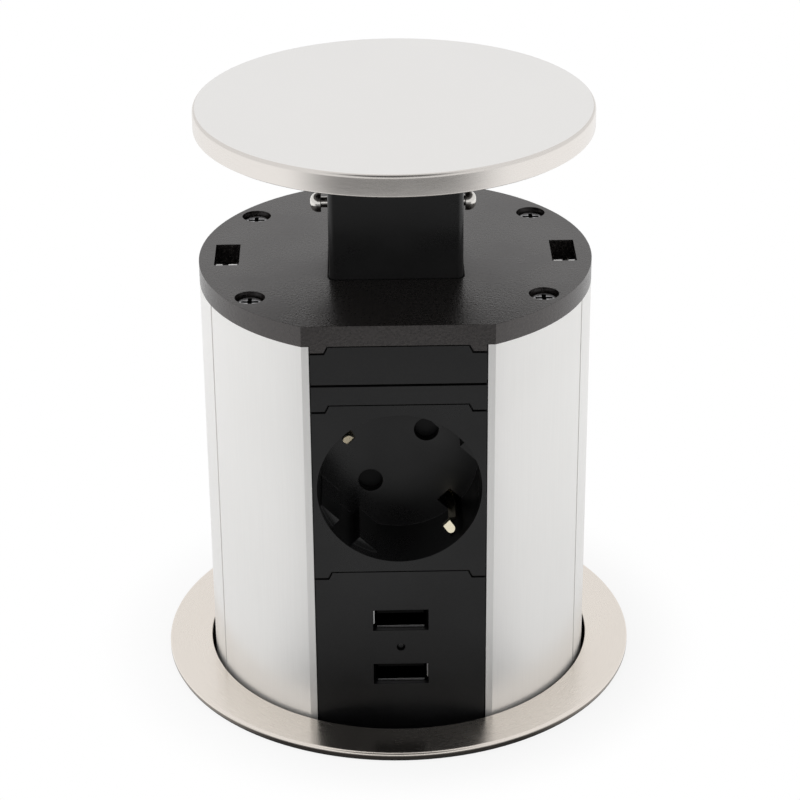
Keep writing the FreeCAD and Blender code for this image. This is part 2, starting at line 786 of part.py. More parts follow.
def build_cable_gland():
    """Cord inlet: a hollow stem keyed in the foot between two collars, and the clamp nut below."""
    gland = new_body("cable_gland")
    spot = ("0", "gland_y")
    extrude(gland, lambda s: hexagon(s, "gland_shank_r"), "foot_bottom - gland_hex",
            "shell_bottom + gland_above", centre=spot)
    extrude(gland, lambda s: hexagon(s, "gland_hex_r"), "foot_bottom - gland_hex", "foot_bottom", centre=spot)
    extrude(gland, lambda s: hexagon(s, "gland_hex_r"), "shell_bottom", "shell_bottom + gland_hex", centre=spot)
    extrude(gland, lambda s: circle(s, "0", "0", "gland_bore_r"), "foot_bottom - gland_hex - 1",
            "shell_bottom + gland_above + 1", cut=True, centre=spot)
    keep(gland, "cable_gland")

    nut = new_body("gland_nut")
    low = "foot_bottom - gland_hex - gland_nut"
    extrude(nut, lambda s: hexagon(s, "gland_nut_r"), low, "foot_bottom - gland_hex", centre=spot)
    extrude(nut, lambda s: circle(s, "0", "0", "gland_bore_r"), f"{low} - 1", "foot_bottom - gland_hex + 1",
            cut=True, centre=spot)
    keep(nut, "gland_nut")


# Panels that slide down between the shells

def slide_panel(owner, low, high, ears=False, notches=False):
    """Add the flush face and the wider tongue that runs in the shells' slides."""
    extrude(owner, lambda s: rectangle(s, "-face_x", low, "face_x", high), "-flat_y", "-tongue_front", plane="XZ")
    extrude(owner, lambda s: rectangle(s, "-tongue_x", low, "tongue_x", high), "-tongue_front", "-tongue_back",
            plane="XZ")
    if notches:
        extrude(owner, lambda s: draw_ears(s, high, grow="seam", rise="1"), "-flat_y - 1", "-tongue_front",
                plane="XZ", cut=True)
    if ears:
        extrude(owner, lambda s: draw_ears(s, low, rise="0.3"), "-flat_y", "-tongue_front", plane="XZ")


def build_plain_panels(side, turn):
    """Blank, filler and lower panels of one side."""
    for label, low, high, ears, notches in (
        ("blank_panel", "blank_bottom", "blank_top", False, True),
        ("filler_strip", "filler_bottom", "filler_top", True, False),
        ("lower_panel", "shell_bottom", "lower_top", False, False),
    ):
        name = f"{side}_{label}"
        item = new_body(name, turn)
        slide_panel(item, low, high, ears, notches)
        keep(item, name)


def build_cover_panel():
    """Plain module that closes the lower half of the back."""
    cover = new_body("back_cover_panel", 180)
    slide_panel(cover, "charger_bottom", "charger_top", notches=True)
    keep(cover, "back_cover_panel")


# Earthed socket, drawn once and placed on both faces

def build_socket_face(side, turn):
    """Round well with keying fins, earth slots and two pin holes, behind a flush face."""
    name = f"{side}_socket_face"
    face = new_body(name, turn)
    spot = ("0", "socket_z")
    turned = {"plane": "XZ", "centre": spot, "spin": "pin_angle"}
    slide_panel(face, "socket_bottom", "socket_top", ears=True, notches=True)
    extrude(face, lambda s: rectangle(s, "-cup_half", "-cup_half", "cup_half", "cup_half"), "-tongue_back",
            "-floor_back", plane="XZ", centre=spot)
    extrude(face, lambda s: circle(s, "0", "0", "well_r"), "-flat_y - 1", "-floor_front", plane="XZ", cut=True,
            centre=spot)

    def fins(s):
        for end in ("", "-"):
            for flank in ("", "-"):
                polygon(s, [
                    (f"{end}fin_chord", f"{flank}fin_near"),
                    (f"{end}fin_root", f"{flank}fin_near"),
                    (f"{end}fin_root", f"{flank}(fin_near + fin_long)"),
                    (f"{end}fin_chord", f"{flank}(fin_near + fin_long)"),
                ])

    def earth_slots(s):
        rectangle(s, "-clip_slot_half", "clip_slot_in", "clip_slot_half", "clip_slot_out")
        rectangle(s, "-clip_slot_half", "-clip_slot_out", "clip_slot_half", "-clip_slot_in")

    def pin_holes(s):
        for end in ("", "-"):
            circle(s, f"{end}pin_half", "0", "pin_hole_r")

    extrude(face, fins, "-(flat_y - fin_sunk)", "-floor_front + 0.2", **turned)
    extrude(face, earth_slots, "-(flat_y - clip_slot_sunk)", "-floor_back + 1", cut=True, **turned)
    extrude(face, pin_holes, "-floor_front - 1", "-floor_back + 1", cut=True, **turned)
    keep(face, name)


def at_pins(half):
    """Return a drawer of two squares, one round each pin of the socket."""

    def draw(s):
        for end in ("", "-"):
            rectangle(s, f"{end}(pin_half + {half})", f"-({half})", f"{end}(pin_half - ({half}))", half)

    return draw


def build_contact_carrier(side, turn):
    """Insulating back of the socket, with the shutter's chamber and a square tower round each sleeve."""
    name = f"{side}_contact_carrier"
    carrier = new_body(name, turn, on_socket=True)
    square = {"plane": "XZ", "spin": "-pin_angle"}

    def block(half):
        return lambda s: rectangle(s, f"-({half})", f"-({half})", half, half)

    def strap_gaps(s):
        rectangle(s, "-clip_slot_half", "clip_slot_in", "clip_slot_half", "carrier_half * 1.5")
        rectangle(s, "-clip_slot_half", "-carrier_half * 1.5", "clip_slot_half", "-clip_slot_in")

    extrude(carrier, block("carrier_half"), "-floor_back", "-disc_back", **square)
    extrude(carrier, block("carrier_half - carrier_wall"), "-floor_back - 1", "-disc_front", cut=True, **square)
    extrude(carrier, lambda s: circle(s, "0", "0", "pivot_r"), "-(floor_back - 0.1)", "-disc_front", plane="XZ")
    extrude(carrier, at_pins("sleeve_tower_half"), "-disc_back", "-tower_end", plane="XZ")
    extrude(carrier, at_pins("sleeve_half + sleeve_fit"), "-disc_front - 1", "-tower_end + 1", plane="XZ",
            cut=True)
    extrude(carrier, strap_gaps, "-floor_back - 1", "-disc_back + 1", plane="XZ", cut=True)
    keep(carrier, name)


def build_contact_sleeves(side, turn):
    """Sleeves folded from brass strip, open along one flank, that grip the plug's pins."""
    sleeves = []
    for end in ("", "-"):
        sleeve = new_body(f"{side}_sleeve", turn, on_socket=True)
        extrude(sleeve, lambda s: rectangle(
            s, f"{end}(pin_half - sleeve_half)", "-sleeve_half", f"{end}(pin_half + sleeve_half)", "sleeve_half"),
            "-sleeve_front", "-bar_face", plane="XZ")
        extrude(sleeve, lambda s: rectangle(
            s, f"{end}(pin_half - sleeve_bore_half)", "-sleeve_bore_half", f"{end}(pin_half + sleeve_half + 1)",
            "sleeve_bore_half"), "-sleeve_front - 1", "-bar_face + 1", plane="XZ", cut=True)
        sleeves.append(sleeve)
    group(f"{side}_contact_sleeves", sleeves)


def build_earth_bracket(side, turn):
    """Sprung steel strap bent to a U, whose two flared tips touch the plug's earth strips."""
    name = f"{side}_earth_bracket"
    bracket = new_body(name, turn, on_socket=True)
    right = [
        ("-disc_back + strap_thick", "strap_z"),
        ("-(strap_touch_y - strap_lean + 0.34 * strap_thick)", "strap_z"),
        ("-(strap_touch_y - 0.3 * strap_thick)", "strap_touch_z + 1.5 * strap_thick"),
        ("-(strap_touch_y + strap_flare_front - 0.87 * strap_thick)",
         "strap_touch_z + strap_flare + 0.5 * strap_thick"),
        ("-(strap_touch_y + strap_flare_front)", "strap_touch_z + strap_flare"),
        ("-strap_touch_y", "strap_touch_z"),
        ("-(strap_touch_y - strap_lean)", "strap_z - strap_thick"),
        ("-disc_back", "strap_z - strap_thick"),
    ]
    left = [(depth, f"-({height})") for depth, height in reversed(right)]
    extrude(bracket, lambda s: polygon(s, right + left), "-strap_half", "strap_half", plane="YZ")
    keep(bracket, name)


def build_shutter(side, turn):
    """Turning shutter that bars both pin holes, and the bent leaf spring that closes it."""
    name = f"{side}_shutter"
    shutter = new_body(name, turn, on_socket=True)

    def vanes(s):
        polygon(s, [
            ("vane_root", "-vane_root"),
            ("vane_reach", "-vane_tip"),
            ("vane_reach", "vane_tip"),
            ("vane_root", "vane_root"),
            ("0", "hub_r"),
            ("-vane_root", "vane_root"),
            ("-vane_reach", "vane_tip"),
            ("-vane_reach", "-vane_tip"),
            ("-vane_root", "-vane_root"),
            ("0", "-hub_r"),
        ])

    extrude(shutter, vanes, "-shutter_front", "-shutter_back", plane="XZ")
    extrude(shutter, lambda s: circle(s, "0", "0", "pivot_r + pivot_gap"), "-shutter_front - 1",
            "-shutter_back + 1", plane="XZ", cut=True)
    keep(shutter, name)

    spring_name = f"{side}_shutter_spring"
    spring = new_body(spring_name, turn, on_socket=True)
    extrude(spring, lambda s: polygon(s, [
        ("-leaf_near", "leaf_half"),
        ("-leaf_near", "leaf_half - leaf_thick"),
        ("leaf_far", "leaf_half - leaf_thick"),
        ("leaf_far", "-leaf_half"),
        ("leaf_far + leaf_thick", "-leaf_half"),
        ("leaf_far + leaf_thick", "leaf_half"),
    ]), "-(shutter_back - 0.05)", "-disc_front", plane="XZ")
    keep(spring, spring_name)


# Charger module

def port_height(number):
    """Height of the upper or lower port's centre."""
    return f"(port_mid {'+' if number == 0 else '-'} port_pitch / 2)"


def build_charger_panel():
    """Flush module with two port openings, the lamp's hole and four square board bosses."""
    panel = new_body("usb_panel")
    slide_panel(panel, "charger_bottom", "charger_top", notches=True)

    def bosses(s):
        for x_side in ("", "-"):
            for height in ("charger_bottom + boss_margin", "charger_top - boss_margin"):
                rectangle(s, f"{x_side}boss_x - boss_half", f"{height} - boss_half", f"{x_side}boss_x + boss_half",
                          f"{height} + boss_half")

    def openings(s):
        for number in range(2):
            rectangle(s, "-port_open_wide / 2", f"{port_height(number)} - port_open_high / 2", "port_open_wide / 2",
                      f"{port_height(number)} + port_open_high / 2")
        circle(s, "0", "lamp_z", "lamp_r + lamp_fit")

    extrude(panel, bosses, "-tongue_back", "-board_front", plane="XZ")
    extrude(panel, openings, "-flat_y - 1", "-tongue_back + 1", plane="XZ", cut=True)
    keep(panel, "usb_panel")


def build_ports():
    """Folded steel port shells with a black contact blade in each."""
    blades = []
    for number, place in enumerate(("upper", "lower")):
        port = new_body(f"usb_port_{place}")
        middle = port_height(number)

        def frame(s, shrink, middle=middle):
            rectangle(s, f"-(port_open_wide / 2 - {shrink})", f"{middle} - (port_open_high / 2 - {shrink})",
                      f"port_open_wide / 2 - {shrink}", f"{middle} + port_open_high / 2 - {shrink}")

        extrude(port, lambda s: frame(s, "port_fit"), "-port_front", "-board_front", plane="XZ")
        extrude(port, lambda s: frame(s, "(port_fit + port_sheet)"), "-port_front - 1", "-board_front + 1",
                plane="XZ", cut=True)
        keep(port, f"usb_port_{place}")

        blade = new_body(f"usb_blade_{place}")
        extrude(blade, lambda s: frame(s, "(port_fit + port_sheet + 0.1)"), "-(board_front + blade_base)",
                "-board_front", plane="XZ")
        extrude(blade, lambda s, middle=middle: rectangle(
            s, "-blade_wide / 2", f"{middle} + blade_rise - blade_thick / 2", "blade_wide / 2",
            f"{middle} + blade_rise + blade_thick / 2"), "-(port_front - blade_sunk)",
            "-(board_front + blade_base)", plane="XZ")
        blades.append(blade)
    group("usb_blades", blades)


def build_lamp():
    """Small lens of the charging lamp."""
    lens = new_body("lamp_lens")
    extrude(lens, lambda s: circle(s, "0", "lamp_z", "lamp_r"), "-flat_y", "-flat_y + lamp_long", plane="XZ")
    keep(lens, "lamp_lens")


def build_charger_board():
    """Circuit board with its transformer, film capacitors and feed strips."""
    board = new_body("usb_board")
    extrude(board, lambda s: rectangle(s, "-board_x", "charger_bottom + board_margin / 2", "board_x",
                                       "charger_top - board_margin / 2"), "-board_front", "-board_back", plane="XZ")

    keep(board, "usb_board")

    transformer = new_body("usb_transformer")
    extrude(transformer, lambda s: rectangle(
        s, "-transformer_x - transformer_wide / 2", "port_mid - port_pitch / 2 - transformer_high / 2",
        "-transformer_x + transformer_wide / 2", "port_mid - port_pitch / 2 + transformer_high / 2"),
        "-board_back", "-board_back + transformer_deep", plane="XZ")
    keep(transformer, "usb_transformer")

    capacitors = []
    for side in ("+", "-"):
        item = new_body("usb_capacitor")
        middle = f"port_mid - port_pitch / 2 {side} capacitor_half * 1.2"
        extrude(item, lambda s: rectangle(s, "capacitor_x - capacitor_half", f"{middle} - capacitor_half",
                                          "capacitor_x + capacitor_half", f"{middle} + capacitor_half"),
                "-board_back", "-board_back + capacitor_long", plane="XZ")
        capacitors.append(item)
    group("usb_capacitors", capacitors)

    feed = new_body("usb_feed_strip")
    extrude(feed, lambda s: rectangle(s, "bar_x - feed_half", "charger_top - feed_drop - feed_thick",
                                      "bar_x + feed_half", "charger_top - feed_drop"),
            "-board_back", "-bar_face", plane="XZ")
    group("usb_feed_strips", [feed, mirrored(feed, (1, 0, 0))])


# Supply bars and terminals

def build_bars():
    """Upright brass bars that join both sockets to the terminals, and the earth bar between them."""
    live = new_body("live_bar")
    extrude(live, lambda s: rectangle(s, "bar_x - bar_half", "-bar_face", "bar_x + bar_half", "bar_face"),
            "bar_low", "bar_top")
    keep(live, "live_bar")
    neutral = new_body("neutral_bar")
    extrude(neutral, lambda s: rectangle(s, "-(bar_x + bar_half)", "-bar_face", "-(bar_x - bar_half)", "bar_face"),
            "bar_low", "bar_top")
    keep(neutral, "neutral_bar")
    earth = new_body("earth_bar")
    extrude(earth, lambda s: rectangle(s, "-earth_half", "-earth_thick / 2", "earth_half", "earth_thick / 2"),
            "bar_low", "socket_z")
    extrude(earth, lambda s: rectangle(s, "-earth_half", "-(disc_back - strap_thick)", "earth_half",
                                       "disc_back - strap_thick"), "socket_z - earth_thick / 2",
            "socket_z + earth_thick / 2")
    keep(earth, "earth_bar")


def build_terminals():
    """Three-pole terminal block on the foot, with a way in for each wire."""
    block = new_body("terminal_block")
    extrude(block, lambda s: rectangle(s, "-terminal_x", "-terminal_y", "terminal_x", "terminal_y"),
            "shell_bottom", "terminal_top")

    def bar_slots(s):
        for middle, half, thick in (("bar_x", "bar_half", "bar_face"), ("-bar_x", "bar_half", "bar_face"),
                                    ("0", "earth_half", "earth_thick / 2")):
            rectangle(s, f"{middle} - {half} - terminal_fit", f"-({thick} + terminal_fit)",
                      f"{middle} + {half} + terminal_fit", f"{thick} + terminal_fit")

    def wire_ways(s):
        for middle in ("bar_x", "-bar_x", "0"):
            rectangle(s, f"{middle} - wire_half", "bar_low - 2 * wire_half", f"{middle} + wire_half", "bar_low")

    extrude(block, bar_slots, "bar_low", "terminal_top + 1", cut=True)
    extrude(block, wire_ways, "0", "terminal_y + 1", plane="XZ", cut=True)
    keep(block, "terminal_block")


# Lid, its post and the guide under the top plate

def build_lid():
    """Spun steel cap over a plastic base, whose stem is pinned in the square post."""
    cap = new_body("lid_cap")
    revolve(cap, lambda s: polygon(s, [
        ("0", "base_top"),
        ("lid_r - lid_sheet", "base_top"),
        ("lid_r - lid_sheet", "lid_underside"),
        ("lid_r", "lid_underside"),
        ("lid_r", "lid_top - lid_bevel"),
        ("lid_r - lid_bevel", "lid_top"),
        ("0", "lid_top"),
    ]))
    keep(cap, "lid_cap")

    base = new_body("lid_base")
    extrude(base, lambda s: circle(s, "0", "0", "lid_r - lid_sheet - base_fit"), "base_bottom", "base_top")
    extrude(base, lambda s: rectangle(
        s, "-(post_x - post_wall - stem_fit)", "-(post_y - post_wall - stem_fit)",
        "post_x - post_wall - stem_fit", "post_y - post_wall - stem_fit"), "pin_z - stem_foot", "base_bottom")
    extrude(base, lambda s: rectangle(s, "-stem_core_x", "-stem_core_y", "stem_core_x", "stem_core_y"),
            "pin_z - stem_foot + 2", "base_top + 1", cut=True)
    extrude(base, lambda s: rectangle(s, "-(pin_r + pin_gap)", "pin_z - stem_foot - 1", "pin_r + pin_gap",
                                      "pin_z + pin_r + pin_gap"), "-post_x - 1", "post_x + 1", plane="YZ", cut=True)
    keep(base, "lid_base")

    post = new_body("lid_post")
    extrude(post, lambda s: rectangle(s, "-post_x", "-post_y", "post_x", "post_y"), "lip_bottom", "base_bottom")
    soften(post, is_upright, "post_round")
    extrude(post, lambda s: rectangle(s, "-(post_x + post_lip)", "-(post_y + post_lip)", "post_x + post_lip",
                                      "post_y + post_lip"), "lip_bottom", "lip_top")

    def bore(s):
        rectangle(s, "-(post_x - post_wall)", "-(post_y - post_wall)", "post_x - post_wall", "post_y - post_wall")

    extrude(post, bore, "web_top", "base_bottom + 1", cut=True)
    extrude(post, bore, "lip_bottom - 1", "web_bottom", cut=True)
    extrude(post, lambda s: circle(s, "0", "pin_z", "pin_r + pin_gap"), "-post_x - 1", "post_x + 1", plane="YZ",
            cut=True)
    keep(post, "lid_post")

    pin = new_body("cross_pin")
    half = "(post_x + pin_out)"
    revolve(pin, lambda s: polygon(s, [
        ("0", f"-({half} + pin_head)"),
        ("pin_head_r", f"-({half} + pin_head)"),
        ("pin_head_r", f"-({half})"),
        ("pin_r", f"-({half})"),
        ("pin_r", half),
        ("pin_head_r", half),
        ("pin_head_r", f"{half} + pin_head"),
        ("0", f"{half} + pin_head"),
    ]), centre=("pin_shift", "pin_z"), spin="90")
    keep(pin, "cross_pin")


def build_post_guide():
    """Cup under the top plate that guides the post's lip and carries the spring."""
    guide = new_body("post_guide")
    extrude(guide, lambda s: rectangle(s, "-(guide_x + guide_wall)", "-(guide_y + guide_wall)",
                                       "guide_x + guide_wall", "guide_y + guide_wall"), "guide_bottom", "shell_top")
    extrude(guide, lambda s: rectangle(s, "-guide_flange_x", "-guide_flange_y", "guide_flange_x",
                                       "guide_flange_y"), "shell_top - guide_flange", "shell_top")
    extrude(guide, lambda s: rectangle(s, "-guide_x", "-guide_y", "guide_x", "guide_y"), "guide_floor_top",
            "shell_top + 1", cut=True)
    keep(guide, "post_guide")


def build_lid_spring():
    """Compression spring of square wire between the guide's floor and the web in the post."""
    half = sheet.get("coil_half")
    radius = sheet.get("coil_r")
    low = number_of("guide_floor_top") + half + 0.1
    high = number_of("web_bottom") - half - 0.1
    steps = COIL_TURNS * COIL_STEPS
    corners = ((half, half), (half, -half), (-half, -half), (-half, half))

    def section(step):
        """Return the wire's four corners at one step round the coil."""
        angle = 2 * math.pi * step / COIL_STEPS
        height = low + (high - low) * step / steps
        return [FreeCAD.Vector((radius + out) * math.cos(angle), (radius + out) * math.sin(angle), height + up)
                for out, up in corners]

    def flat_face(*points):
        return Part.Face(Part.makePolygon([*points, points[0]]))

    faces = [flat_face(*section(0)), flat_face(*section(steps))]
    for step in range(steps):
        here, after = section(step), section(step + 1)
        faces.append(flat_face(here[0], here[1], after[1], after[0]))
        faces.append(flat_face(here[2], here[3], after[3], after[2]))
        for one, other in ((1, 2), (3, 0)):
            faces.append(flat_face(here[one], here[other], after[other]))
            faces.append(flat_face(here[one], after[other], after[one]))
    shell = Part.makeShell(faces)
    shell.sewShape()
    coil = Part.makeSolid(Part.Shell(shell.Faces))
    gap = (high - low) / COIL_TURNS - 2 * half
    print(f"lid_spring: {COIL_TURNS} turns, {gap:.2f} mm between turns")
    item = doc.addObject("Part::Feature", "lid_spring")
    item.Shape = coil
    keep(item, "lid_spring")


build_trim_ring()
build_seal_ring()
build_threaded_collar()
build_guide_blocks()
build_brake_pads()
build_clamp()
build_shells()
build_top_plate()
build_case_screws()
build_foot_plate()
build_cable_gland()
build_lid()
build_post_guide()
build_lid_spring()
for side_name, side_turn in (("front", 0), ("back", 180)):
    build_plain_panels(side_name, side_turn)
    build_socket_face(side_name, side_turn)
    build_contact_carrier(side_name, side_turn)
    build_contact_sleeves(side_name, side_turn)
    build_earth_bracket(side_name, side_turn)
    build_shutter(side_name, side_turn)
build_cover_panel()
build_charger_panel()
build_ports()
build_lamp()
build_charger_board()
build_bars()
build_terminals()
doc.recompute()

for item in doc.Objects:
    if "Invalid" in item.State or "Error" in item.State:
        raise RuntimeError(f"{item.Label} ({item.Name}) did not build: {item.State}")
os.makedirs("parts", exist_ok=True)
for piece in pieces:
    if piece.Shape.isNull() or not piece.Shape.isValid():
        raise RuntimeError(f"{piece.Label} has no valid shape")
    piece.Shape.exportStep(f"parts/{piece.Label}.step")
print(f"{len(pieces)} pieces written")
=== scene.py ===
"""Looks of a pop-up worktop socket tower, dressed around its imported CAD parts."""

from __future__ import annotations

import logging
import math
from dataclasses import dataclass
from enum import Enum
from functools import partial
from typing import Callable, Sequence

import bmesh
import bpy
from mathutils import Matrix, Vector

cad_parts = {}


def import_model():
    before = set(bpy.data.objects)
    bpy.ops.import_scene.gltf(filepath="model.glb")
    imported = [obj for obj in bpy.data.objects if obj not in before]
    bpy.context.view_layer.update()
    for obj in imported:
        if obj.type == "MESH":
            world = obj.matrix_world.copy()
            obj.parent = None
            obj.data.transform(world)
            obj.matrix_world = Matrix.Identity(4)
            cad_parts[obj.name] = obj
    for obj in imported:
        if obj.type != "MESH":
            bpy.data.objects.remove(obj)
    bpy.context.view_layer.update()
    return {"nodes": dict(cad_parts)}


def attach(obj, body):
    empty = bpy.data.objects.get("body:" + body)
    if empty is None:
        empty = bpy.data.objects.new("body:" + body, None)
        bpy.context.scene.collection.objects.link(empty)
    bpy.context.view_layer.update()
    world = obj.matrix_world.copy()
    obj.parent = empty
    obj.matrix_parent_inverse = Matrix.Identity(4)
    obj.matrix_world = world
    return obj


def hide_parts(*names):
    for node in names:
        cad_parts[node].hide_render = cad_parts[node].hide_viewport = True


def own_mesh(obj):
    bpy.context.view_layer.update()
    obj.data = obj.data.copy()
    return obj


LOG = logging.getLogger("socket_tower")
MM = 0.001
PHOTO_WIDTH_PX = 800
SENSOR_MM = 36.0
SMOOTH_ANGLE = 40.0
BEVEL_SAMPLES = 6
# Metres below which corners are joined, and edges dropped.
SAME_SPOT = 1e-7
NO_LENGTH = 1e-8
# Colour sockets of the mix node: both inputs and the result.
MIX_FIRST, MIX_SECOND, MIX_RESULT = 6, 7, 2
# Parts of a noise's range that a finish spreads over its own whole range.
MIDDLE = (0.35, 0.65)
MOST = (0.3, 0.7)
# Rounding of an outline's corners in millimetres.
SHARP = 0.0
SOFT = 0.15
BROKEN = 0.2
EASED = 0.3
# Ridge of a thread: depth of its foot in the core, then half its foot and half its crest in pitches.
THREAD_SUNK = 0.15
THREAD_FOOT = 0.36
THREAD_FLAT = 0.14

Colour = tuple[float, float, float]
Place = tuple[float, float, float]
Socket = bpy.types.NodeSocket
Shape = bmesh.types.BMesh
Fill = Callable[[Shape], None]


def tone(red: float, green: float, blue: float) -> Colour:
    """Turn a colour as seen on a screen into the light values that a shader takes.

    Args:
        red: Red, from 0 to 255.
        green: Green, from 0 to 255.
        blue: Blue, from 0 to 255.

    Returns:
        The linear red, green and blue, from 0 to 1.
    """

    def linear(value: float) -> float:
        """Turn one channel from 0 to 255 into its linear share, by the sRGB curve."""
        share = value / 255.0
        return share / 12.92 if share <= 0.04045 else ((share + 0.055) / 1.055) ** 2.4

    return linear(red), linear(green), linear(blue)


class Grain(Enum):
    """Way that the fine lines of a worked metal run."""

    STRAIGHT = "along x"
    UPRIGHT = "along z"
    SPUN = "round z"
    NONE = "none"


class Graph:
    """Short calls for building one node tree."""

    def __init__(self, tree: bpy.types.NodeTree, empty: bool = True) -> None:
        """Keep the tree and empty it.

        Args:
            tree: Node tree of a material or a world.
            empty: Whether its nodes go first.
        """
        self.tree = tree
        if empty:
            tree.nodes.clear()

    def add(self, kind: str, **values: object) -> bpy.types.Node:
        """Add a node, setting its options and inputs.

        Args:
            kind: Blender's name for the node, without the leading ShaderNode.
            values: Options by attribute name, and inputs by name with underscores for spaces.

        Returns:
            The new node.
        """
        node = self.tree.nodes.new("ShaderNode" + kind)
        for name, value in values.items():
            if hasattr(node, name):
                setattr(node, name, value)
            else:
                self.put(node.inputs[name.replace("_", " ")], value)
        return node

    def put(self, socket: Socket, value: object) -> None:
        """Link a socket into an input, or set the input's own value.

        Args:
            socket: Input to fill.
            value: Output socket, number or colour.
        """
        if isinstance(value, Socket):
            self.tree.links.new(value, socket)
        elif isinstance(value, tuple) and len(value) == 3 and socket.type == "RGBA":
            socket.default_value = (*value, 1.0)
        else:
            socket.default_value = value

    def maths(self, operation: str, *terms: object) -> Socket:
        """Work out a sum on sockets or numbers.

        Args:
            operation: Name of the operation.
            terms: One to three sockets or numbers.

        Returns:
            The result's socket.
        """
        node = self.tree.nodes.new("ShaderNodeMath")
        node.operation = operation
        for socket, term in zip(node.inputs, terms):
            self.put(socket, term)
        return node.outputs[0]

    def blend(self, share: object, first: object, second: object) -> Socket:
        """Mix two colours.

        Args:
            share: How much of the second colour, from 0 to 1.
            first: Colour or socket.
            second: Colour or socket.

        Returns:
            The mixed colour's socket.
        """
        node = self.tree.nodes.new("ShaderNodeMix")
        node.data_type = "RGBA"
        self.put(node.inputs["Factor"], share)
        self.put(node.inputs[MIX_FIRST], first)
        self.put(node.inputs[MIX_SECOND], second)
        return node.outputs[MIX_RESULT]

    def spread(self, value: object, low: float, high: float, start: float = 0.0, end: float = 1.0) -> Socket:
        """Map one range of numbers on another, holding the ends.

        Args:
            value: Socket with the number.
            low: Result at the start.
            high: Result at the end.
            start: Lowest number taken.
            end: Highest number taken.

        Returns:
            The mapped number's socket.
        """
        node = self.add("MapRange", From_Min=start, From_Max=end, To_Min=low, To_Max=high)
        self.put(node.inputs["Value"], value)
        return node.outputs["Result"]

    def ease(self, value: object, start: float, end: float) -> Socket:
        """Rise smoothly from 0 to 1 between two numbers.

        Args:
            value: Socket with the number.
            start: Number at which the rise starts.
            end: Number at which it ends.

        Returns:
            The eased number's socket.
        """
        node = self.add("MapRange", interpolation_type="SMOOTHSTEP", From_Min=start, From_Max=end)
        self.put(node.inputs["Value"], value)
        return node.outputs["Result"]

    def noise(self, where: object, scale: float, detail: float = 2.0, rough: float = 0.5) -> Socket:
        """Add a noise texture.

        Args:
            where: Socket with the place.
            scale: Features to a metre.
            detail: Number of finer layers.
            rough: Strength of the finer layers.

        Returns:
            The noise value's socket.
        """
        node = self.add("TexNoise", Scale=scale, Detail=detail, Roughness=rough)
        self.put(node.inputs["Vector"], where)
        return node.outputs[0]

    def place(self) -> Socket:
        """Give the place on the piece, fixed to the piece, as a socket."""
        return self.add("TexCoord").outputs["Object"]

    def from_axis(self, x: object, y: object) -> Socket:
        """Work out the distance from the Z axis.

        Args:
            x: Socket with the place across.
            y: Socket with the place in depth.

        Returns:
            The distance's socket.
        """
        squared = self.maths("ADD", self.maths("MULTIPLY", x, x), self.maths("MULTIPLY", y, y))
        return self.maths("SQRT", squared)

    def rays(self) -> tuple[Socket, Socket]:
        """Tell apart the rays that see the studio.

        Returns:
            Sockets that are 1 for the camera's rays, and for those that metal or glass sends on.
        """
        path = self.add("LightPath")
        kinds = ("Camera", "Glossy", "Transmission")
        camera, glossy, through = (path.outputs[f"Is {kind} Ray"] for kind in kinds)
        return camera, self.maths("MAXIMUM", glossy, through)


@dataclass(frozen=True)
class Finish:
    """Surface of one kind of piece, by default moulded, with a fine grain and slow changes in gloss."""

    name: str
    colour: Colour
    roughness: float
    edge: float = 0.15
    metallic: float = 0.0
    grain: float = 3200.0
    grain_layers: float = 3.0
    grain_gain: float = 0.6
    grain_depth: float = 0.02
    relief: float = 0.6
    vary: float = 0.25
    lift: float = 0.002
    contrast: tuple[float, float] = MIDDLE
    clouds: float = 55.0
    smudge: float = 0.08
    ripple: float = 0.03
    specular: float = 0.5
    sheen: Colour = (1.0, 1.0, 1.0)

    def material(self) -> bpy.types.Material:
        """Make the material once and hand it out after that.

        Returns:
            The finished material.
        """
        ready = bpy.data.materials.get(self.name)
        if ready:
            return ready
        made = bpy.data.materials.new(self.name)
        made.use_nodes = True
        graph = Graph(made.node_tree)
        shader = graph.add("BsdfPrincipled", Metallic=self.metallic)
        surface = graph.add("OutputMaterial")
        graph.put(surface.inputs["Surface"], shader.outputs[0])
        self.dress(graph, shader)
        return made

    def grain_place(self, graph: Graph) -> Socket:
        """Give the place that the fine grain is read from.

        Args:
            graph: Tree to add to.

        Returns:
            The place's socket.
        """
        return graph.place()

    def dress(self, graph: Graph, shader: bpy.types.Node) -> None:
        """Add the finish's nodes to the shader: colour and relief from the grain, gloss from both.

        Args:
            graph: Tree to add to.
            shader: The material's main shader.
        """
        fine = graph.noise(self.grain_place(graph), self.grain, self.grain_layers, self.grain_gain)
        wide = graph.noise(graph.place(), self.clouds)
        dark = tuple(channel * (1.0 - self.vary) for channel in self.colour)
        light = tuple(min(1.0, channel * (1.0 + self.vary) + self.lift) for channel in self.colour)
        colour = graph.blend(graph.spread(fine, 0.0, 1.0, *self.contrast), dark, light)
        graph.put(shader.inputs["Base Color"], colour)
        slow = graph.spread(wide, self.roughness - self.smudge, self.roughness + self.smudge, *MIDDLE)
        quick = graph.spread(fine, -self.ripple, self.ripple, *MOST)
        graph.put(shader.inputs["Roughness"], graph.maths("ADD", slow, quick))
        shader.inputs["Specular IOR Level"].default_value = self.specular
        shader.inputs["Specular Tint"].default_value = (*self.sheen, 1.0)
        bump = graph.add("Bump", Strength=self.relief, Distance=self.grain_depth * MM)
        graph.put(bump.inputs["Height"], fine)
        rounded = graph.add("Bevel", samples=BEVEL_SAMPLES, Radius=self.edge * MM)
        graph.put(bump.inputs["Normal"], rounded.outputs[0])
        graph.put(shader.inputs["Normal"], bump.outputs[0])


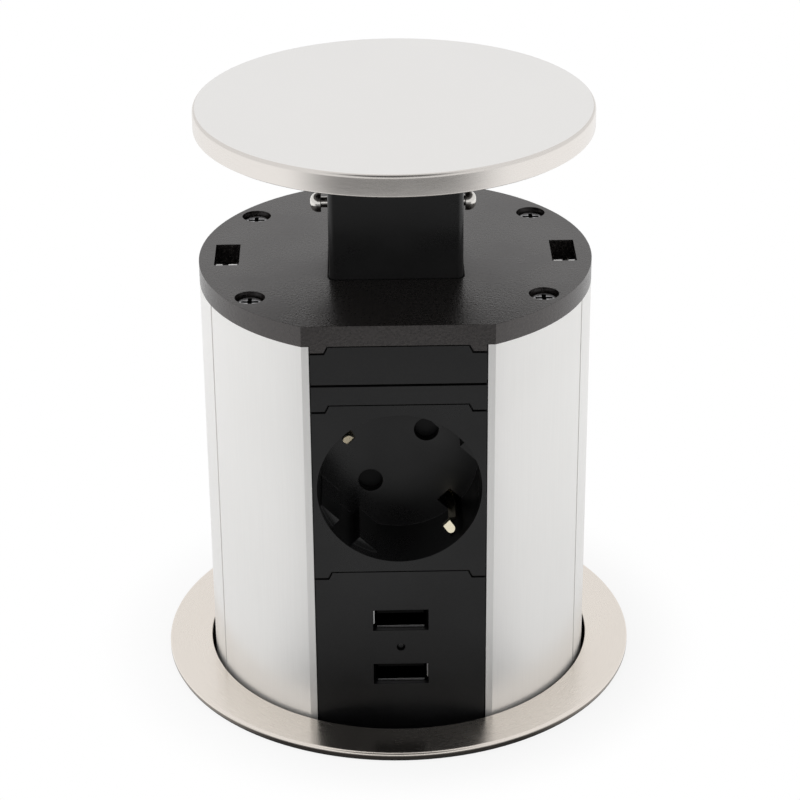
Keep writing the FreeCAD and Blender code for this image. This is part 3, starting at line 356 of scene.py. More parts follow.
@dataclass(frozen=True)
class Worked(Finish):
    """Metal with brushed, drawn or spun lines."""

    metallic: float = 1.0
    grain: float = 9000.0
    grain_gain: float = 0.65
    grain_depth: float = 0.004
    relief: float = 0.5
    vary: float = 0.06
    lift: float = 0.0
    contrast: tuple[float, float] = MOST
    clouds: float = 24.0
    smudge: float = 0.05
    ripple: float = 0.04
    lines: Grain = Grain.NONE
    line_length: float = 0.02
    spun_length: float = 0.001

    def grain_place(self, graph: Graph) -> Socket:
        """Stretch the place along the lines, so that a noise there becomes lines.

        Args:
            graph: Tree to add to.

        Returns:
            The stretched place's socket.
        """
        where = graph.place()
        if self.lines is Grain.NONE:
            return where
        parts = graph.add("SeparateXYZ")
        graph.put(parts.inputs[0], where)
        x, y, z = parts.outputs
        if self.lines is Grain.SPUN:
            angle = graph.maths("ARCTAN2", y, x)
            chosen = (graph.from_axis(x, y), graph.maths("MULTIPLY", angle, self.spun_length), z)
        elif self.lines is Grain.STRAIGHT:
            chosen = (graph.maths("MULTIPLY", x, self.line_length), y, z)
        else:
            chosen = (x, y, graph.maths("MULTIPLY", z, self.line_length))
        together = graph.add("CombineXYZ")
        for socket, value in zip(together.inputs, chosen):
            graph.put(socket, value)
        return together.outputs[0]


STAINLESS_TOP = Worked("stainless_top", tone(254, 252, 250), 0.17, lines=Grain.STRAIGHT, edge=0.05,
                       vary=0.015)
STAINLESS_RIM = Worked("stainless_rim", tone(236, 231, 226), 0.24, lines=Grain.SPUN, edge=0.05, vary=0.03)
STAINLESS_RING = Worked("stainless_ring", tone(248, 240, 231), 0.27, lines=Grain.SPUN, edge=0.05, vary=0.03)
# Same steel as the ring's top, painted darker: painted shade on the ring's outer side.
RING_HEM_PAINTED_SHADE = Worked("ring_hem_painted_shade", tone(150, 143, 135), 0.25, lines=Grain.SPUN, edge=0.05, vary=0.03)
SATIN_ALUMINIUM = Worked("satin_aluminium", tone(249, 248, 246), 0.36, metallic=0.55, lines=Grain.UPRIGHT,
                         grain=2500.0, vary=0.015, edge=0.12)
PIN_STEEL = Worked("pin_steel", tone(232, 229, 224), 0.16, edge=0.05)
ZINC = Worked("zinc_plate", tone(200, 200, 202), 0.30, vary=0.08, edge=0.1)
NICKEL = Worked("nickel_sheet", tone(205, 205, 205), 0.28, edge=0.05)
# Nickel steel painted near black: painted shade inside the charger port shells and in the screws' cross
# recesses.
NICKEL_PAINTED_SHADE = Worked("nickel_painted_shade", tone(14, 14, 14), 0.40, edge=0.05)
SPRING_WIRE = Worked("spring_wire", tone(215, 214, 210), 0.25, edge=0.05)
EARTH_STRIP = Worked("earth_strip", tone(250, 240, 214), 0.24, edge=0.05)
BRASS = Worked("drawn_brass", tone(222, 190, 120), 0.30, vary=0.08)
PLATE_BLACK = Finish("plate_black", tone(26, 23, 22), 0.28, grain=1500.0, grain_depth=0.11, vary=0.85,
                     smudge=0.03, specular=1.0, sheen=(1.0, 0.95, 0.94))
PANEL_BLACK = Finish("panel_black", tone(17, 17, 18), 0.40, grain=3600.0, vary=0.15)
SOCKET_BLACK = Finish("socket_black", tone(13, 13, 14), 0.34, grain=3600.0, vary=0.15)
POST_BLACK = Finish("post_black", tone(13, 13, 14), 0.32, grain=3600.0, vary=0.15)
COLLAR_BLACK = Finish("collar_black", tone(24, 24, 25), 0.48)
SEAL_RUBBER = Finish("seal_rubber", tone(30, 30, 30), 0.75, grain=2000.0)
FELT = Finish("pressed_felt", tone(92, 90, 86), 0.95, grain=1400.0, grain_depth=0.15, vary=0.3)
CREAM = Finish("cream_thermoset", tone(214, 210, 198), 0.5, vary=0.04)
BLADE_BLACK = Finish("blade_black", tone(4, 4, 4), 0.45, specular=0.12)
BOARD_GREEN = Finish("board_green", tone(34, 92, 60), 0.38, grain=700.0, vary=0.2)
CAPACITOR = Finish("coated_film", tone(170, 120, 50), 0.35, vary=0.05)
FERRITE = Finish("ferrite", tone(60, 60, 62), 0.6)
SHUTTER_BLACK = Finish("shutter_black", tone(7, 7, 8), 0.5, vary=0.1, specular=0.25)
CARRIER_BLACK = Finish("carrier_black", tone(9, 9, 10), 0.6, vary=0.1, specular=0.3)
LAMP = Finish("lamp_diffuser", tone(9, 9, 10), 0.22, vary=0.05)
WORKTOP_WHITE = Finish("worktop_white", tone(236, 236, 236), 0.6, grain=400.0, grain_depth=0.0, vary=0.01)

NODE_FINISHES: dict[Finish, tuple[str, ...]] = {
    STAINLESS_TOP: ("lid_cap",),
    STAINLESS_RING: ("trim_ring",),
    SATIN_ALUMINIUM: ("left_shell", "right_shell"),
    PIN_STEEL: ("cross_pin",),
    ZINC: ("clamp_washer", "top_plate_screws"),
    NICKEL: ("usb_port_upper", "usb_port_lower"),
    SPRING_WIRE: ("lid_spring", "front_shutter_spring", "back_shutter_spring"),
    EARTH_STRIP: ("front_earth_bracket", "back_earth_bracket"),
    BRASS: ("usb_feed_strips", "live_bar", "neutral_bar", "earth_bar", "front_contact_sleeves",
            "back_contact_sleeves"),
    CAPACITOR: ("usb_capacitors",),
    PLATE_BLACK: ("top_plate", "foot_plate", "post_guide", "lid_base"),
    PANEL_BLACK: ("front_blank_panel", "front_filler_strip", "front_lower_panel", "back_blank_panel",
                  "back_filler_strip", "back_lower_panel", "back_cover_panel", "usb_panel"),
    SOCKET_BLACK: ("front_socket_face", "back_socket_face"),
    SHUTTER_BLACK: ("front_shutter", "back_shutter"),
    CARRIER_BLACK: ("front_contact_carrier", "back_contact_carrier"),
    POST_BLACK: ("lid_post",),
    COLLAR_BLACK: ("threaded_collar", "guide_blocks", "ring_nut", "cable_gland", "gland_nut"),
    SEAL_RUBBER: ("seal_ring",),
    FELT: ("brake_pads",),
    CREAM: ("terminal_block",),
    BLADE_BLACK: ("usb_blades",),
    BOARD_GREEN: ("usb_board",),
    FERRITE: ("usb_transformer",),
    LAMP: ("lamp_lens",),
}


def mesh_object(name: str, build: Fill, *finishes: Finish) -> bpy.types.Object:
    """Make a mesh object from bmesh code.

    Args:
        name: Name of the piece.
        build: Function that fills an empty bmesh.
        finishes: Finishes to dress it with, by the faces' material number.

    Returns:
        The new object, in the scene.
    """
    shape = bmesh.new()
    build(shape)
    bmesh.ops.recalc_face_normals(shape, faces=shape.faces)
    limit = math.radians(SMOOTH_ANGLE)
    for edge in shape.edges:
        edge.smooth = len(edge.link_faces) == 2 and edge.calc_face_angle(0.0) < limit
    for face in shape.faces:
        face.smooth = True
    mesh = bpy.data.meshes.new(name)
    shape.to_mesh(mesh)
    shape.free()
    made = bpy.data.objects.new(name, mesh)
    bpy.context.scene.collection.objects.link(made)
    for finish in finishes:
        mesh.materials.append(finish.material())
    return made


def curved(corners: Sequence[Place], steps: int = 6) -> list[tuple[float, float]]:
    """Round the corners of a closed outline.

    Args:
        corners: Each corner's place across, place along and rounding, in millimetres.
        steps: Number of lines in a rounded corner.

    Returns:
        The outline's points.
    """
    points = []
    for index, (across, along, rounding) in enumerate(corners):
        corner = Vector((across, along))
        if not rounding:
            points.append((across, along))
            continue
        before = (Vector(corners[index - 1][:2]) - corner).normalized()
        after = (Vector(corners[(index + 1) % len(corners)][:2]) - corner).normalized()
        half = before.angle(after) / 2
        reach = rounding / math.tan(half)
        middle = corner + (before + after).normalized() * rounding / math.sin(half)
        first, last = corner + before * reach - middle, corner + after * reach - middle
        for step in range(steps + 1):
            points.append(tuple(middle + first.lerp(last, step / steps).normalized() * rounding))
    return points


def around(radius: float, angle: float, height: float) -> Place:
    """Give a place round Z in metres.

    Args:
        radius: Distance from Z in millimetres.
        angle: Angle round Z in radians.
        height: Height in millimetres.

    Returns:
        The place.
    """
    return radius * math.cos(angle) * MM, radius * math.sin(angle) * MM, height * MM


def bridge(shape: Shape, rings: Sequence[Sequence[bmesh.types.BMVert]]) -> None:
    """Join rings of as many points each to a closed tube.

    Args:
        shape: Mesh to add to.
        rings: Rings along the tube.
    """
    for ring, after in zip(rings, rings[1:]):
        for here in range(len(ring)):
            there = (here + 1) % len(ring)
            shape.faces.new((ring[here], ring[there], after[there], after[here]))
    shape.faces.new(rings[0])
    shape.faces.new(rings[-1])


def lathe(outline: Sequence[tuple[float, float]], steps: int = 192,
          pick: Callable[[float, float], int] | None = None, closed: bool = True) -> Fill:
    """Prepare a turned shape round Z.

    Args:
        outline: Closed outline as radius and height, in millimetres.
        steps: Number of faces round it.
        pick: Function that picks a face row's material from its middle radius and height.
        closed: Whether the last point joins the first.

    Returns:
        A function that fills a bmesh with the shape.
    """

    def fill(shape: Shape) -> None:
        """Fill the bmesh with the turned faces.

        Args:
            shape: Empty mesh.
        """
        turns = [math.tau * step / steps for step in range(steps)]
        rows = [[shape.verts.new(around(radius, turn, height)) for turn in turns]
                for radius, height in outline]
        for index, row in enumerate(rows if closed else rows[:-1]):
            other = rows[(index + 1) % len(rows)]
            here, there = outline[index], outline[(index + 1) % len(outline)]
            if here[0] == there[0] == 0:
                continue
            for step in range(steps):
                after = (step + 1) % steps
                face = shape.faces.new((row[step], row[after], other[after], other[step]))
                if pick:
                    face.material_index = pick((here[0] + there[0]) / 2, (here[1] + there[1]) / 2)
        bmesh.ops.remove_doubles(shape, verts=shape.verts, dist=SAME_SPOT)
        bmesh.ops.dissolve_degenerate(shape, edges=shape.edges, dist=NO_LENGTH)

    return fill


def sweep_thread(shape: Shape, core: float, crest: float, pitch: float, low: float,
                 high: float, steps: int = 72) -> None:
    """Wind a trapezoid thread ridge round Z, fading in and out over half a turn.

    Args:
        shape: Mesh to add to.
        core: Radius of the core in millimetres.
        crest: Radius of the crest.
        pitch: Rise in one turn.
        low: Height of the first turn's start.
        high: Height of the last turn's end.
        steps: Number of faces in one turn.
    """
    count = int((high - low) / pitch * steps)
    rings = []
    for index in range(count + 1):
        angle = math.tau * index / steps
        height = low + pitch * index / steps
        share = min(1.0, 2 * index / steps, 2 * (count - index) / steps)
        top, foot = core + (crest - core) * share, core - THREAD_SUNK
        section = ((foot, -THREAD_FOOT), (top, -THREAD_FLAT), (top, THREAD_FLAT), (foot, THREAD_FOOT))
        rings.append([shape.verts.new(around(radius, angle, height + rise * pitch))
                      for radius, rise in section])
    bridge(shape, rings)


def add_block(shape: Shape, low: Sequence[float], high: Sequence[float], round_by: float) -> None:
    """Add a block with softly broken edges.

    Args:
        shape: Mesh to add to.
        low: Lowest corner in millimetres.
        high: Highest corner in millimetres.
        round_by: Width of the broken edges.
    """
    made = bmesh.ops.create_cube(shape, size=1.0)["verts"]
    for vert in made:
        vert.co = Vector([(a if part < 0 else b) * MM for a, b, part in zip(low, high, vert.co)])
    edges = {edge for vert in made for edge in vert.link_edges}
    bmesh.ops.bevel(shape, geom=list(edges), offset=round_by * MM, segments=2, profile=0.5,
                    affect="EDGES")


def turned(fill: Fill, turn: Matrix, spots: Sequence[Place]) -> Fill:
    """Prepare copies of a shape, turned and then moved to each spot.

    Args:
        fill: Function that fills a bmesh with the shape.
        turn: Rotation of the copies.
        spots: Where the copies stand, in millimetres.

    Returns:
        A function that fills a bmesh with the copies.
    """

    def fill_all(shape: Shape) -> None:
        """Fill the bmesh with every copy.

        Args:
            shape: Empty mesh.
        """
        for spot in spots:
            before = set(shape.verts)
            fill(shape)
            fresh = [vert for vert in shape.verts if vert not in before]
            place = Matrix.Translation(Vector(spot) * MM) @ turn.to_4x4()
            bmesh.ops.transform(shape, matrix=place, verts=fresh)

    return fill_all


def stand_in(piece: bpy.types.Object, body: str, *nodes: str, slot: str = "") -> None:
    """Make a piece move with a body, in place of its plain nodes if it has any.

    Args:
        piece: Finished piece.
        body: Body that it moves with.
        nodes: Plain nodes that it stands for.
        slot: Material slot name; not used.
    """
    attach(piece, body)
    if nodes:
        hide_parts(*nodes)
    LOG.info("built %s on %s, %d faces", piece.name, body, len(piece.data.polygons))


@dataclass
class PhotoCamera:
    """Camera that stands where the photograph was taken."""

    focal_px: float = 2564.46
    distance: float = 632.34
    elevation: float = 26.338
    azimuth: float = -0.8098
    roll: float = -0.4834
    target: Place = (0.842, 0.0, 66.765)
    near_clip: float = 0.01

    def build(self) -> None:
        """Place the camera and make it the scene's own."""
        lift = math.radians(self.elevation)
        swing = math.radians(self.azimuth)
        lean = math.radians(self.roll)
        level = math.cos(lift)
        back = Vector((math.sin(swing) * level, -math.cos(swing) * level, math.sin(lift)))
        side = (-back).cross(Vector((0.0, 0.0, 1.0))).normalized()
        up = side.cross(-back)
        turned_side = math.cos(lean) * side + math.sin(lean) * up
        turned_up = -math.sin(lean) * side + math.cos(lean) * up
        data = bpy.data.cameras.new("photo_camera")
        data.sensor_width = SENSOR_MM
        data.lens = self.focal_px / PHOTO_WIDTH_PX * SENSOR_MM
        data.clip_start = self.near_clip
        camera = bpy.data.objects.new("photo_camera", data)
        bpy.context.scene.collection.objects.link(camera)
        turn = Matrix((turned_side, turned_up, back)).transposed()
        spot = (Vector(self.target) + back * self.distance) * MM
        camera.matrix_world = Matrix.Translation(spot) @ turn.to_4x4()
        bpy.context.scene.camera = camera


@dataclass(frozen=True)
class SoftLamp:
    """Rectangular soft lamp that doesn't show in the metals, with places and sizes in metres."""

    name: str
    spot: Place
    aim: Place
    size: tuple[float, float]
    power: float

    def hang(self) -> None:
        """Hang the lamp, turned to the point that it faces."""
        data = bpy.data.lights.new(self.name, "AREA")
        data.shape = "RECTANGLE"
        data.size, data.size_y = self.size
        data.energy = self.power
        lamp = bpy.data.objects.new(self.name, data)
        bpy.context.scene.collection.objects.link(lamp)
        lamp.visible_glossy = False
        facing = (Vector(self.aim) - Vector(self.spot)).to_track_quat("-Z", "Y")
        lamp.matrix_world = Matrix.Translation(Vector(self.spot)) @ facing.to_matrix().to_4x4()


@dataclass
class Studio:
    """White worktop with a cut-out, soft lamps and a white surround that is dark behind the camera."""

    cut_out_radius: float = 51.1
    floor_reach: float = 2500.0
    near_glow: float = 0.86
    glow_start: float = 0.058
    glow_end: float = 0.08
    ambient: float = 0.62
    dark_near: float = 0.04
    lit_middle: float = 0.58
    side_near: float = 0.86
    side_far: float = 0.98
    dark_far: float = 0.24
    near_end: float = 0.10
    far_start: float = 0.24
    far_end: float = 0.31
    dark_angle: float = 28.0
    light_angle: float = 62.0
    flag_height: float = 50.0
    flag_inner: float = 16.0
    flag_outer: float = 34.0
    flag_dark: float = 0.06
    floor_steps: int = 128
    lamps: tuple[SoftLamp, ...] = (
        SoftLamp("top_softbox", (-0.25, 0.2, 1.0), (0.0, 0.0, 0.1), (0.7, 0.7), 3.5),
        SoftLamp("left_softbox", (-1.1, 0.1, 0.45), (0.0, 0.0, 0.08), (0.5, 0.8), 1.5),
        SoftLamp("right_softbox", (1.1, 0.1, 0.45), (0.0, 0.0, 0.08), (0.5, 0.8), 1.2),
    )

    def build(self) -> None:
        """Make the worktop, the surround and the lamps."""
        self.build_floor()
        self.build_surround()
        for lamp in self.lamps:
            lamp.hang()

    def build_floor(self) -> None:
        """Make the worktop: white but for the soft shadow, and in the steel darker in front."""
        outline = [(self.cut_out_radius, 0.0), (self.floor_reach, 0.0)]
        floor = mesh_object("worktop", lathe(outline, self.floor_steps, closed=False), WORKTOP_WHITE)
        tree = WORKTOP_WHITE.material().node_tree
        shader = next(node for node in tree.nodes if node.type == "BSDF_PRINCIPLED")
        surface = next(node for node in tree.nodes if node.type == "OUTPUT_MATERIAL")
        graph = Graph(tree, empty=False)
        parts = graph.add("SeparateXYZ")
        graph.put(parts.inputs[0], graph.place())
        x, y, _ = parts.outputs
        reach = graph.from_axis(x, y)
        shine = self.floor_shine(graph, x, y, reach)
        camera, polished = graph.rays()
        near = graph.spread(graph.ease(reach, self.glow_start, self.glow_end), self.near_glow, 1.0)
        share = graph.maths("MAXIMUM", polished, graph.maths("MULTIPLY", camera, near))
        strength = graph.maths("ADD", camera, graph.maths("MULTIPLY", polished, shine))
        white = graph.add("Emission")
        graph.put(white.inputs["Strength"], strength)
        mix = graph.add("MixShader")
        for socket, value in zip(mix.inputs, (share, shader.outputs[0], white.outputs[0])):
            graph.put(socket, value)
        graph.put(surface.inputs["Surface"], mix.outputs[0])

    def floor_shine(self, graph: Graph, x: object, y: object, reach: object) -> Socket:
        """Work out the worktop's look in polished metal: dark in front, both near the tower and far off.

        Args:
            graph: Tree to add to.
            x: Socket with the place across.
            y: Socket with the place in depth.
            reach: Socket with the distance from the tower's axis.

        Returns:
            The brightness's socket.
        """
        off_front = graph.maths("ARCTAN2", graph.maths("ABSOLUTE", x), graph.maths("MULTIPLY", y, -1.0))
        beside = graph.ease(off_front, math.radians(self.dark_angle), math.radians(self.light_angle))
        inner = graph.spread(graph.ease(reach, self.cut_out_radius * MM, self.near_end), self.dark_near,
                             self.lit_middle)
        outer = graph.spread(graph.ease(reach, self.far_start, self.far_end), 1.0, self.dark_far)
        dark = graph.maths("MINIMUM", inner, outer)
        side = graph.spread(graph.ease(reach, self.cut_out_radius * MM, self.far_start), self.side_near,
                            self.side_far)
        brighter = graph.maths("MULTIPLY", beside, graph.maths("SUBTRACT", side, dark))
        return graph.maths("ADD", dark, brighter)

    def build_surround(self) -> None:
        """Make a white world that lights softly, with a dark patch in front that only gloss shows."""
        world = bpy.data.worlds.new("studio")
        bpy.context.scene.world = world
        world.use_nodes = True
        graph = Graph(world.node_tree)
        camera, polished = graph.rays()
        lift = math.radians(self.flag_height)
        facing = graph.add("VectorMath", operation="DOT_PRODUCT")
        graph.put(facing.inputs[0], graph.add("TexCoord").outputs["Generated"])
        facing.inputs[1].default_value = (0.0, -math.cos(lift), math.sin(lift))
        off_flag = graph.maths("ARCCOSINE", graph.maths("MINIMUM", facing.outputs["Value"], 1.0))
        clear = graph.ease(off_flag, math.radians(self.flag_inner), math.radians(self.flag_outer))
        shine = graph.maths("MULTIPLY", polished, graph.spread(clear, self.flag_dark, 1.0))
        behind = graph.maths("MAXIMUM", camera, shine)
        direct = graph.maths("MAXIMUM", camera, polished)
        rest = graph.maths("MULTIPLY", graph.maths("SUBTRACT", 1.0, direct), self.ambient)
        backdrop = graph.add("Background")
        graph.put(backdrop.inputs["Strength"], graph.maths("ADD", behind, rest))
        surface = graph.add("OutputWorld")
        graph.put(surface.inputs["Surface"], backdrop.outputs[0])


@dataclass
class Lid:
    """Spun steel cap and the pin across the square post."""

    radius: float = 47.1
    top: float = 144.5
    sheet: float = 1.0
    rim: float = 5.4
    shoulder: float = 1.05
    hem_round: float = 0.45
    pin_height: float = 119.5
    pin_low: float = -20.1
    pin_high: float = 19.3
    pin_radius: float = 1.3
    head_radius: float = 2.4
    head_long: float = 2.6
    dome: float = 1.9
    inner_round: float = 0.6
    top_edge: float = 0.1
    cap_steps: int = 256
    pin_steps: int = 40

    def build(self) -> None:
        """Make the cap and the pin."""
        inner = self.radius - self.sheet
        low = self.top - self.rim
        outline = curved([
            (0.0, self.top - self.sheet, SHARP), (inner, self.top - self.sheet, self.inner_round),
            (inner, low, BROKEN), (self.radius, low, self.hem_round),
            (self.radius, self.top, self.shoulder), (0.0, self.top, SHARP),
        ])
        fill = lathe(outline, self.cap_steps, self.is_rim)
        stand_in(mesh_object("lid_cap_spun", fill, STAINLESS_TOP, STAINLESS_RIM), "lid", "lid_cap")

        middle = (self.pin_high + self.pin_low) / 2
        half = (self.pin_high - self.pin_low) / 2
        neck = half - self.head_long
        outline = curved([
            (0.0, half, SHARP), (self.head_radius, half, self.dome),
            (self.head_radius, neck, SOFT), (self.pin_radius, neck, SHARP),
            (self.pin_radius, -neck, SHARP), (self.head_radius, -neck, SOFT),
            (self.head_radius, -half, self.dome), (0.0, -half, SHARP),
        ])
        across = Matrix.Rotation(math.pi / 2, 3, "Y")
        fill = turned(lathe(outline, self.pin_steps), across, [(middle, 0.0, self.pin_height)])
        stand_in(mesh_object("domed_pin", fill, PIN_STEEL), "lid", "cross_pin")

    def is_rim(self, radius: float, height: float) -> int:
        """Tell the spun rim from the brushed top.

        Args:
            radius: Middle radius of a row of faces.
            height: Middle height of that row.

        Returns:
            1 for the rim, 0 for the top.
        """
        return int(radius > self.radius - 0.5 * self.shoulder and height < self.top - self.top_edge)


@dataclass
class WorktopFitting:
    """Steel trim ring on its seal, and the threaded collar under it."""

    bore: float = 47.85
    radius: float = 58.6
    seal: float = 0.5
    flange_top: float = 1.3
    top: float = 2.1
    edge_round: float = 0.8
    hem: float = 1.2
    hem_edge: float = 0.3
    collar_bore: float = 48.4
    core: float = 49.8
    crest: float = 50.35
    collar_radius: float = 50.5
    flange_radius: float = 55.5
    thread_start: float = 22.0
    depth: float = 66.0
    pitch: float = 3.0
    thread_gap: float = 1.5
    foot_round: float = 0.4
    ring_steps: int = 256

    def build(self) -> None:
        """Make the ring and the collar."""
        outline = curved([
            (self.bore, self.flange_top, SHARP), (self.radius - self.hem, self.flange_top, SHARP),
            (self.radius - self.hem, self.seal, SHARP), (self.radius, self.seal, SOFT),
            (self.radius, self.top, self.edge_round), (self.bore, self.top, BROKEN),
        ], steps=10)
        # The hem's faces take the darker steel, painted shade.
        fill = lathe(outline, self.ring_steps, self.is_shaded_hem)
        stand_in(mesh_object("trim_ring_pressed", fill, STAINLESS_RING, RING_HEM_PAINTED_SHADE), "collar", "trim_ring")
        collar = mesh_object("collar_with_thread", self.fill_collar, COLLAR_BLACK)
        stand_in(collar, "collar", "threaded_collar")

    def is_shaded_hem(self, radius: float, height: float) -> int:
        """Tell the turned-down hem, which takes darker steel as painted shade, from the ring's top.

        Args:
            radius: Middle radius of a row of faces.
            height: Middle height of that row.

        Returns:
            1 for the hem, 0 for the top.
        """
        return int(radius > self.radius - self.hem_edge and height < self.top - self.edge_round)

    def fill_collar(self, shape: Shape) -> None:
        """Fill the bmesh with the collar's wall, flange and thread.

        Args:
            shape: Empty mesh.
        """
        outline = curved([
            (self.collar_bore, -self.depth, EASED), (self.core, -self.depth, self.foot_round),
            (self.core, -self.thread_start, SHARP), (self.collar_radius, -self.thread_start, EASED),
            (self.collar_radius, self.seal, SHARP), (self.flange_radius, self.seal, BROKEN),
            (self.flange_radius, self.flange_top, BROKEN), (self.collar_bore, self.flange_top, BROKEN),
        ], steps=3)
        lathe(outline)(shape)
        sweep_thread(shape, self.core, self.crest, self.pitch, self.thread_gap - self.depth,
                     -self.thread_start - self.thread_gap)


@dataclass
class CaseScrews:
    """Cross-head screws in the top plate and in the foot plate."""

    across: float = 34.04
    along: float = 24.8
    seat: float = 102.8
    foot: float = -71.2
    head: float = 2.1
    head_radius: float = 3.1
    shank_radius: float = 1.4
    shank: float = 9.0
    head_round: float = 0.7
    slot_long: float = 2.0
    slot_wide: float = 0.48
    slot_deep: float = 1.3
    slot_taper: float = 0.62
    core_deep: float = 0.2
    thread_deep: float = 0.22
    tip: float = 0.8
    pitch: float = 1.0
    thread_low: float = 1.2
    thread_high: float = 0.8
    head_steps: int = 40
    thread_steps: int = 24

    def fill_screw(self, shape: Shape) -> None:
        """Fill the bmesh with one screw standing on its head's underside.

        Args:
            shape: Mesh to add to.
        """
        core = self.shank_radius - self.core_deep
        outline = curved([
            (self.head_radius - self.head_round, self.head, SHARP),
            (self.head_radius, self.head, self.head_round), (self.head_radius, 0.0, SOFT),
            (core, 0.0, SHARP), (core, self.tip - self.shank, SHARP), (0.0, -self.shank, SHARP),
        ])
        # The first corner is where the next one's rounding starts, so it goes.
        lathe(outline[1:], self.head_steps, closed=False)(shape)
        rim = [edge for edge in shape.edges if edge.is_boundary]
        wide, long = self.slot_wide, self.slot_long
        cross = [(wide, wide), (long, wide), (long, -wide), (wide, -wide), (wide, -long), (-wide, -long),
                 (-wide, -wide), (-long, -wide), (-long, wide), (-wide, wide), (-wide, long), (wide, long)]
        rows = [[shape.verts.new(Vector((x * share, y * share, height)) * MM) for x, y in cross]
                for share, height in ((1.0, self.head), (self.slot_taper, self.head - self.slot_deep))]
        # The cross recess takes the near-black nickel: painted shade in the recess.
        shape.faces.new(rows[1]).material_index = 1
        for here in range(len(cross)):
            there = (here + 1) % len(cross)
            wall = shape.faces.new((rows[0][here], rows[0][there], rows[1][there], rows[1][here]))
            wall.material_index = 1
            rim.append(shape.edges.get((rows[0][here], rows[0][there])))
        bmesh.ops.triangle_fill(shape, edges=rim, use_beauty=True)
        sweep_thread(shape, self.shank_radius - self.thread_deep, self.shank_radius, self.pitch,
                     self.thread_low - self.shank, -self.thread_high, self.thread_steps)

    def build(self) -> None:
        """Make both sets of screws."""
        sets = (
            ("cross_head_screws", self.seat, 0.0, ("top_plate_screws",)),
            ("foot_plate_screws", self.foot, math.pi, ()),
        )
        for name, height, flip, nodes in sets:
            corners = [(x * self.across, y * self.along, height) for x in (-1, 1) for y in (-1, 1)]
            fill = turned(self.screw_mesh, Matrix.Rotation(flip, 3, "X"), corners)
            stand_in(mesh_object(name, fill, ZINC, NICKEL_PAINTED_SHADE), "tower", *nodes, slot="zinc_steel")

    def screw_mesh(self, shape: Shape) -> None:
        """Add one screw made apart, so that its open rim is the only one.

        Args:
            shape: Mesh to add to.
        """
        single = bmesh.new()
        self.fill_screw(single)
        mesh = bpy.data.meshes.new("screw")
        single.to_mesh(mesh)
        single.free()
        shape.from_mesh(mesh)
        bpy.data.meshes.remove(mesh)


@dataclass
class LidSpring:
    """Compression spring of round wire with closed ends, which shortens as the lid is pressed."""

    wire: float = 0.65
    radius: float = 8.5
    low: float = 87.2
    high: float = 111.8
    turns: int = 7
    steps: int = 32
    sides: int = 12
    pressed: float = 0.55

    def height(self, turn: float) -> float:
        """Give the wire's height along the coil.

        Args:
            turn: Turns from the lower end.

        Returns:
            Height of the wire's middle in millimetres.
        """
        closed = min(turn, 1.0) + max(0.0, turn - self.turns + 1.0)
        share = min(max(turn - 1.0, 0.0), self.turns - 2.0) / (self.turns - 2.0)
        # Both closed turns and the wire itself take up three times its thickness.
        rise = self.high - self.low - 6.0 * self.wire
        return self.low + self.wire + 2.0 * self.wire * closed + rise * share

    def fill(self, shape: Shape) -> None:
        """Fill the bmesh with the coil.

        Args:
            shape: Empty mesh.
        """
        sides = [math.tau * side / self.sides for side in range(self.sides)]
        section = [(self.wire * math.cos(side), self.wire * math.sin(side)) for side in sides]
        rings = []
        for step in range(self.turns * self.steps + 1):
            turn, height = step / self.steps, self.height(step / self.steps)
            rings.append([shape.verts.new(around(self.radius + out, math.tau * turn, height + up))
                          for out, up in section])
        bridge(shape, rings)

    def build(self) -> None:
        """Make the spring, on the tower."""
        spring = mesh_object("lid_spring_wound", self.fill, SPRING_WIRE)
        stand_in(spring, "tower", "lid_spring", slot="spring_steel")
        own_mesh(spring)


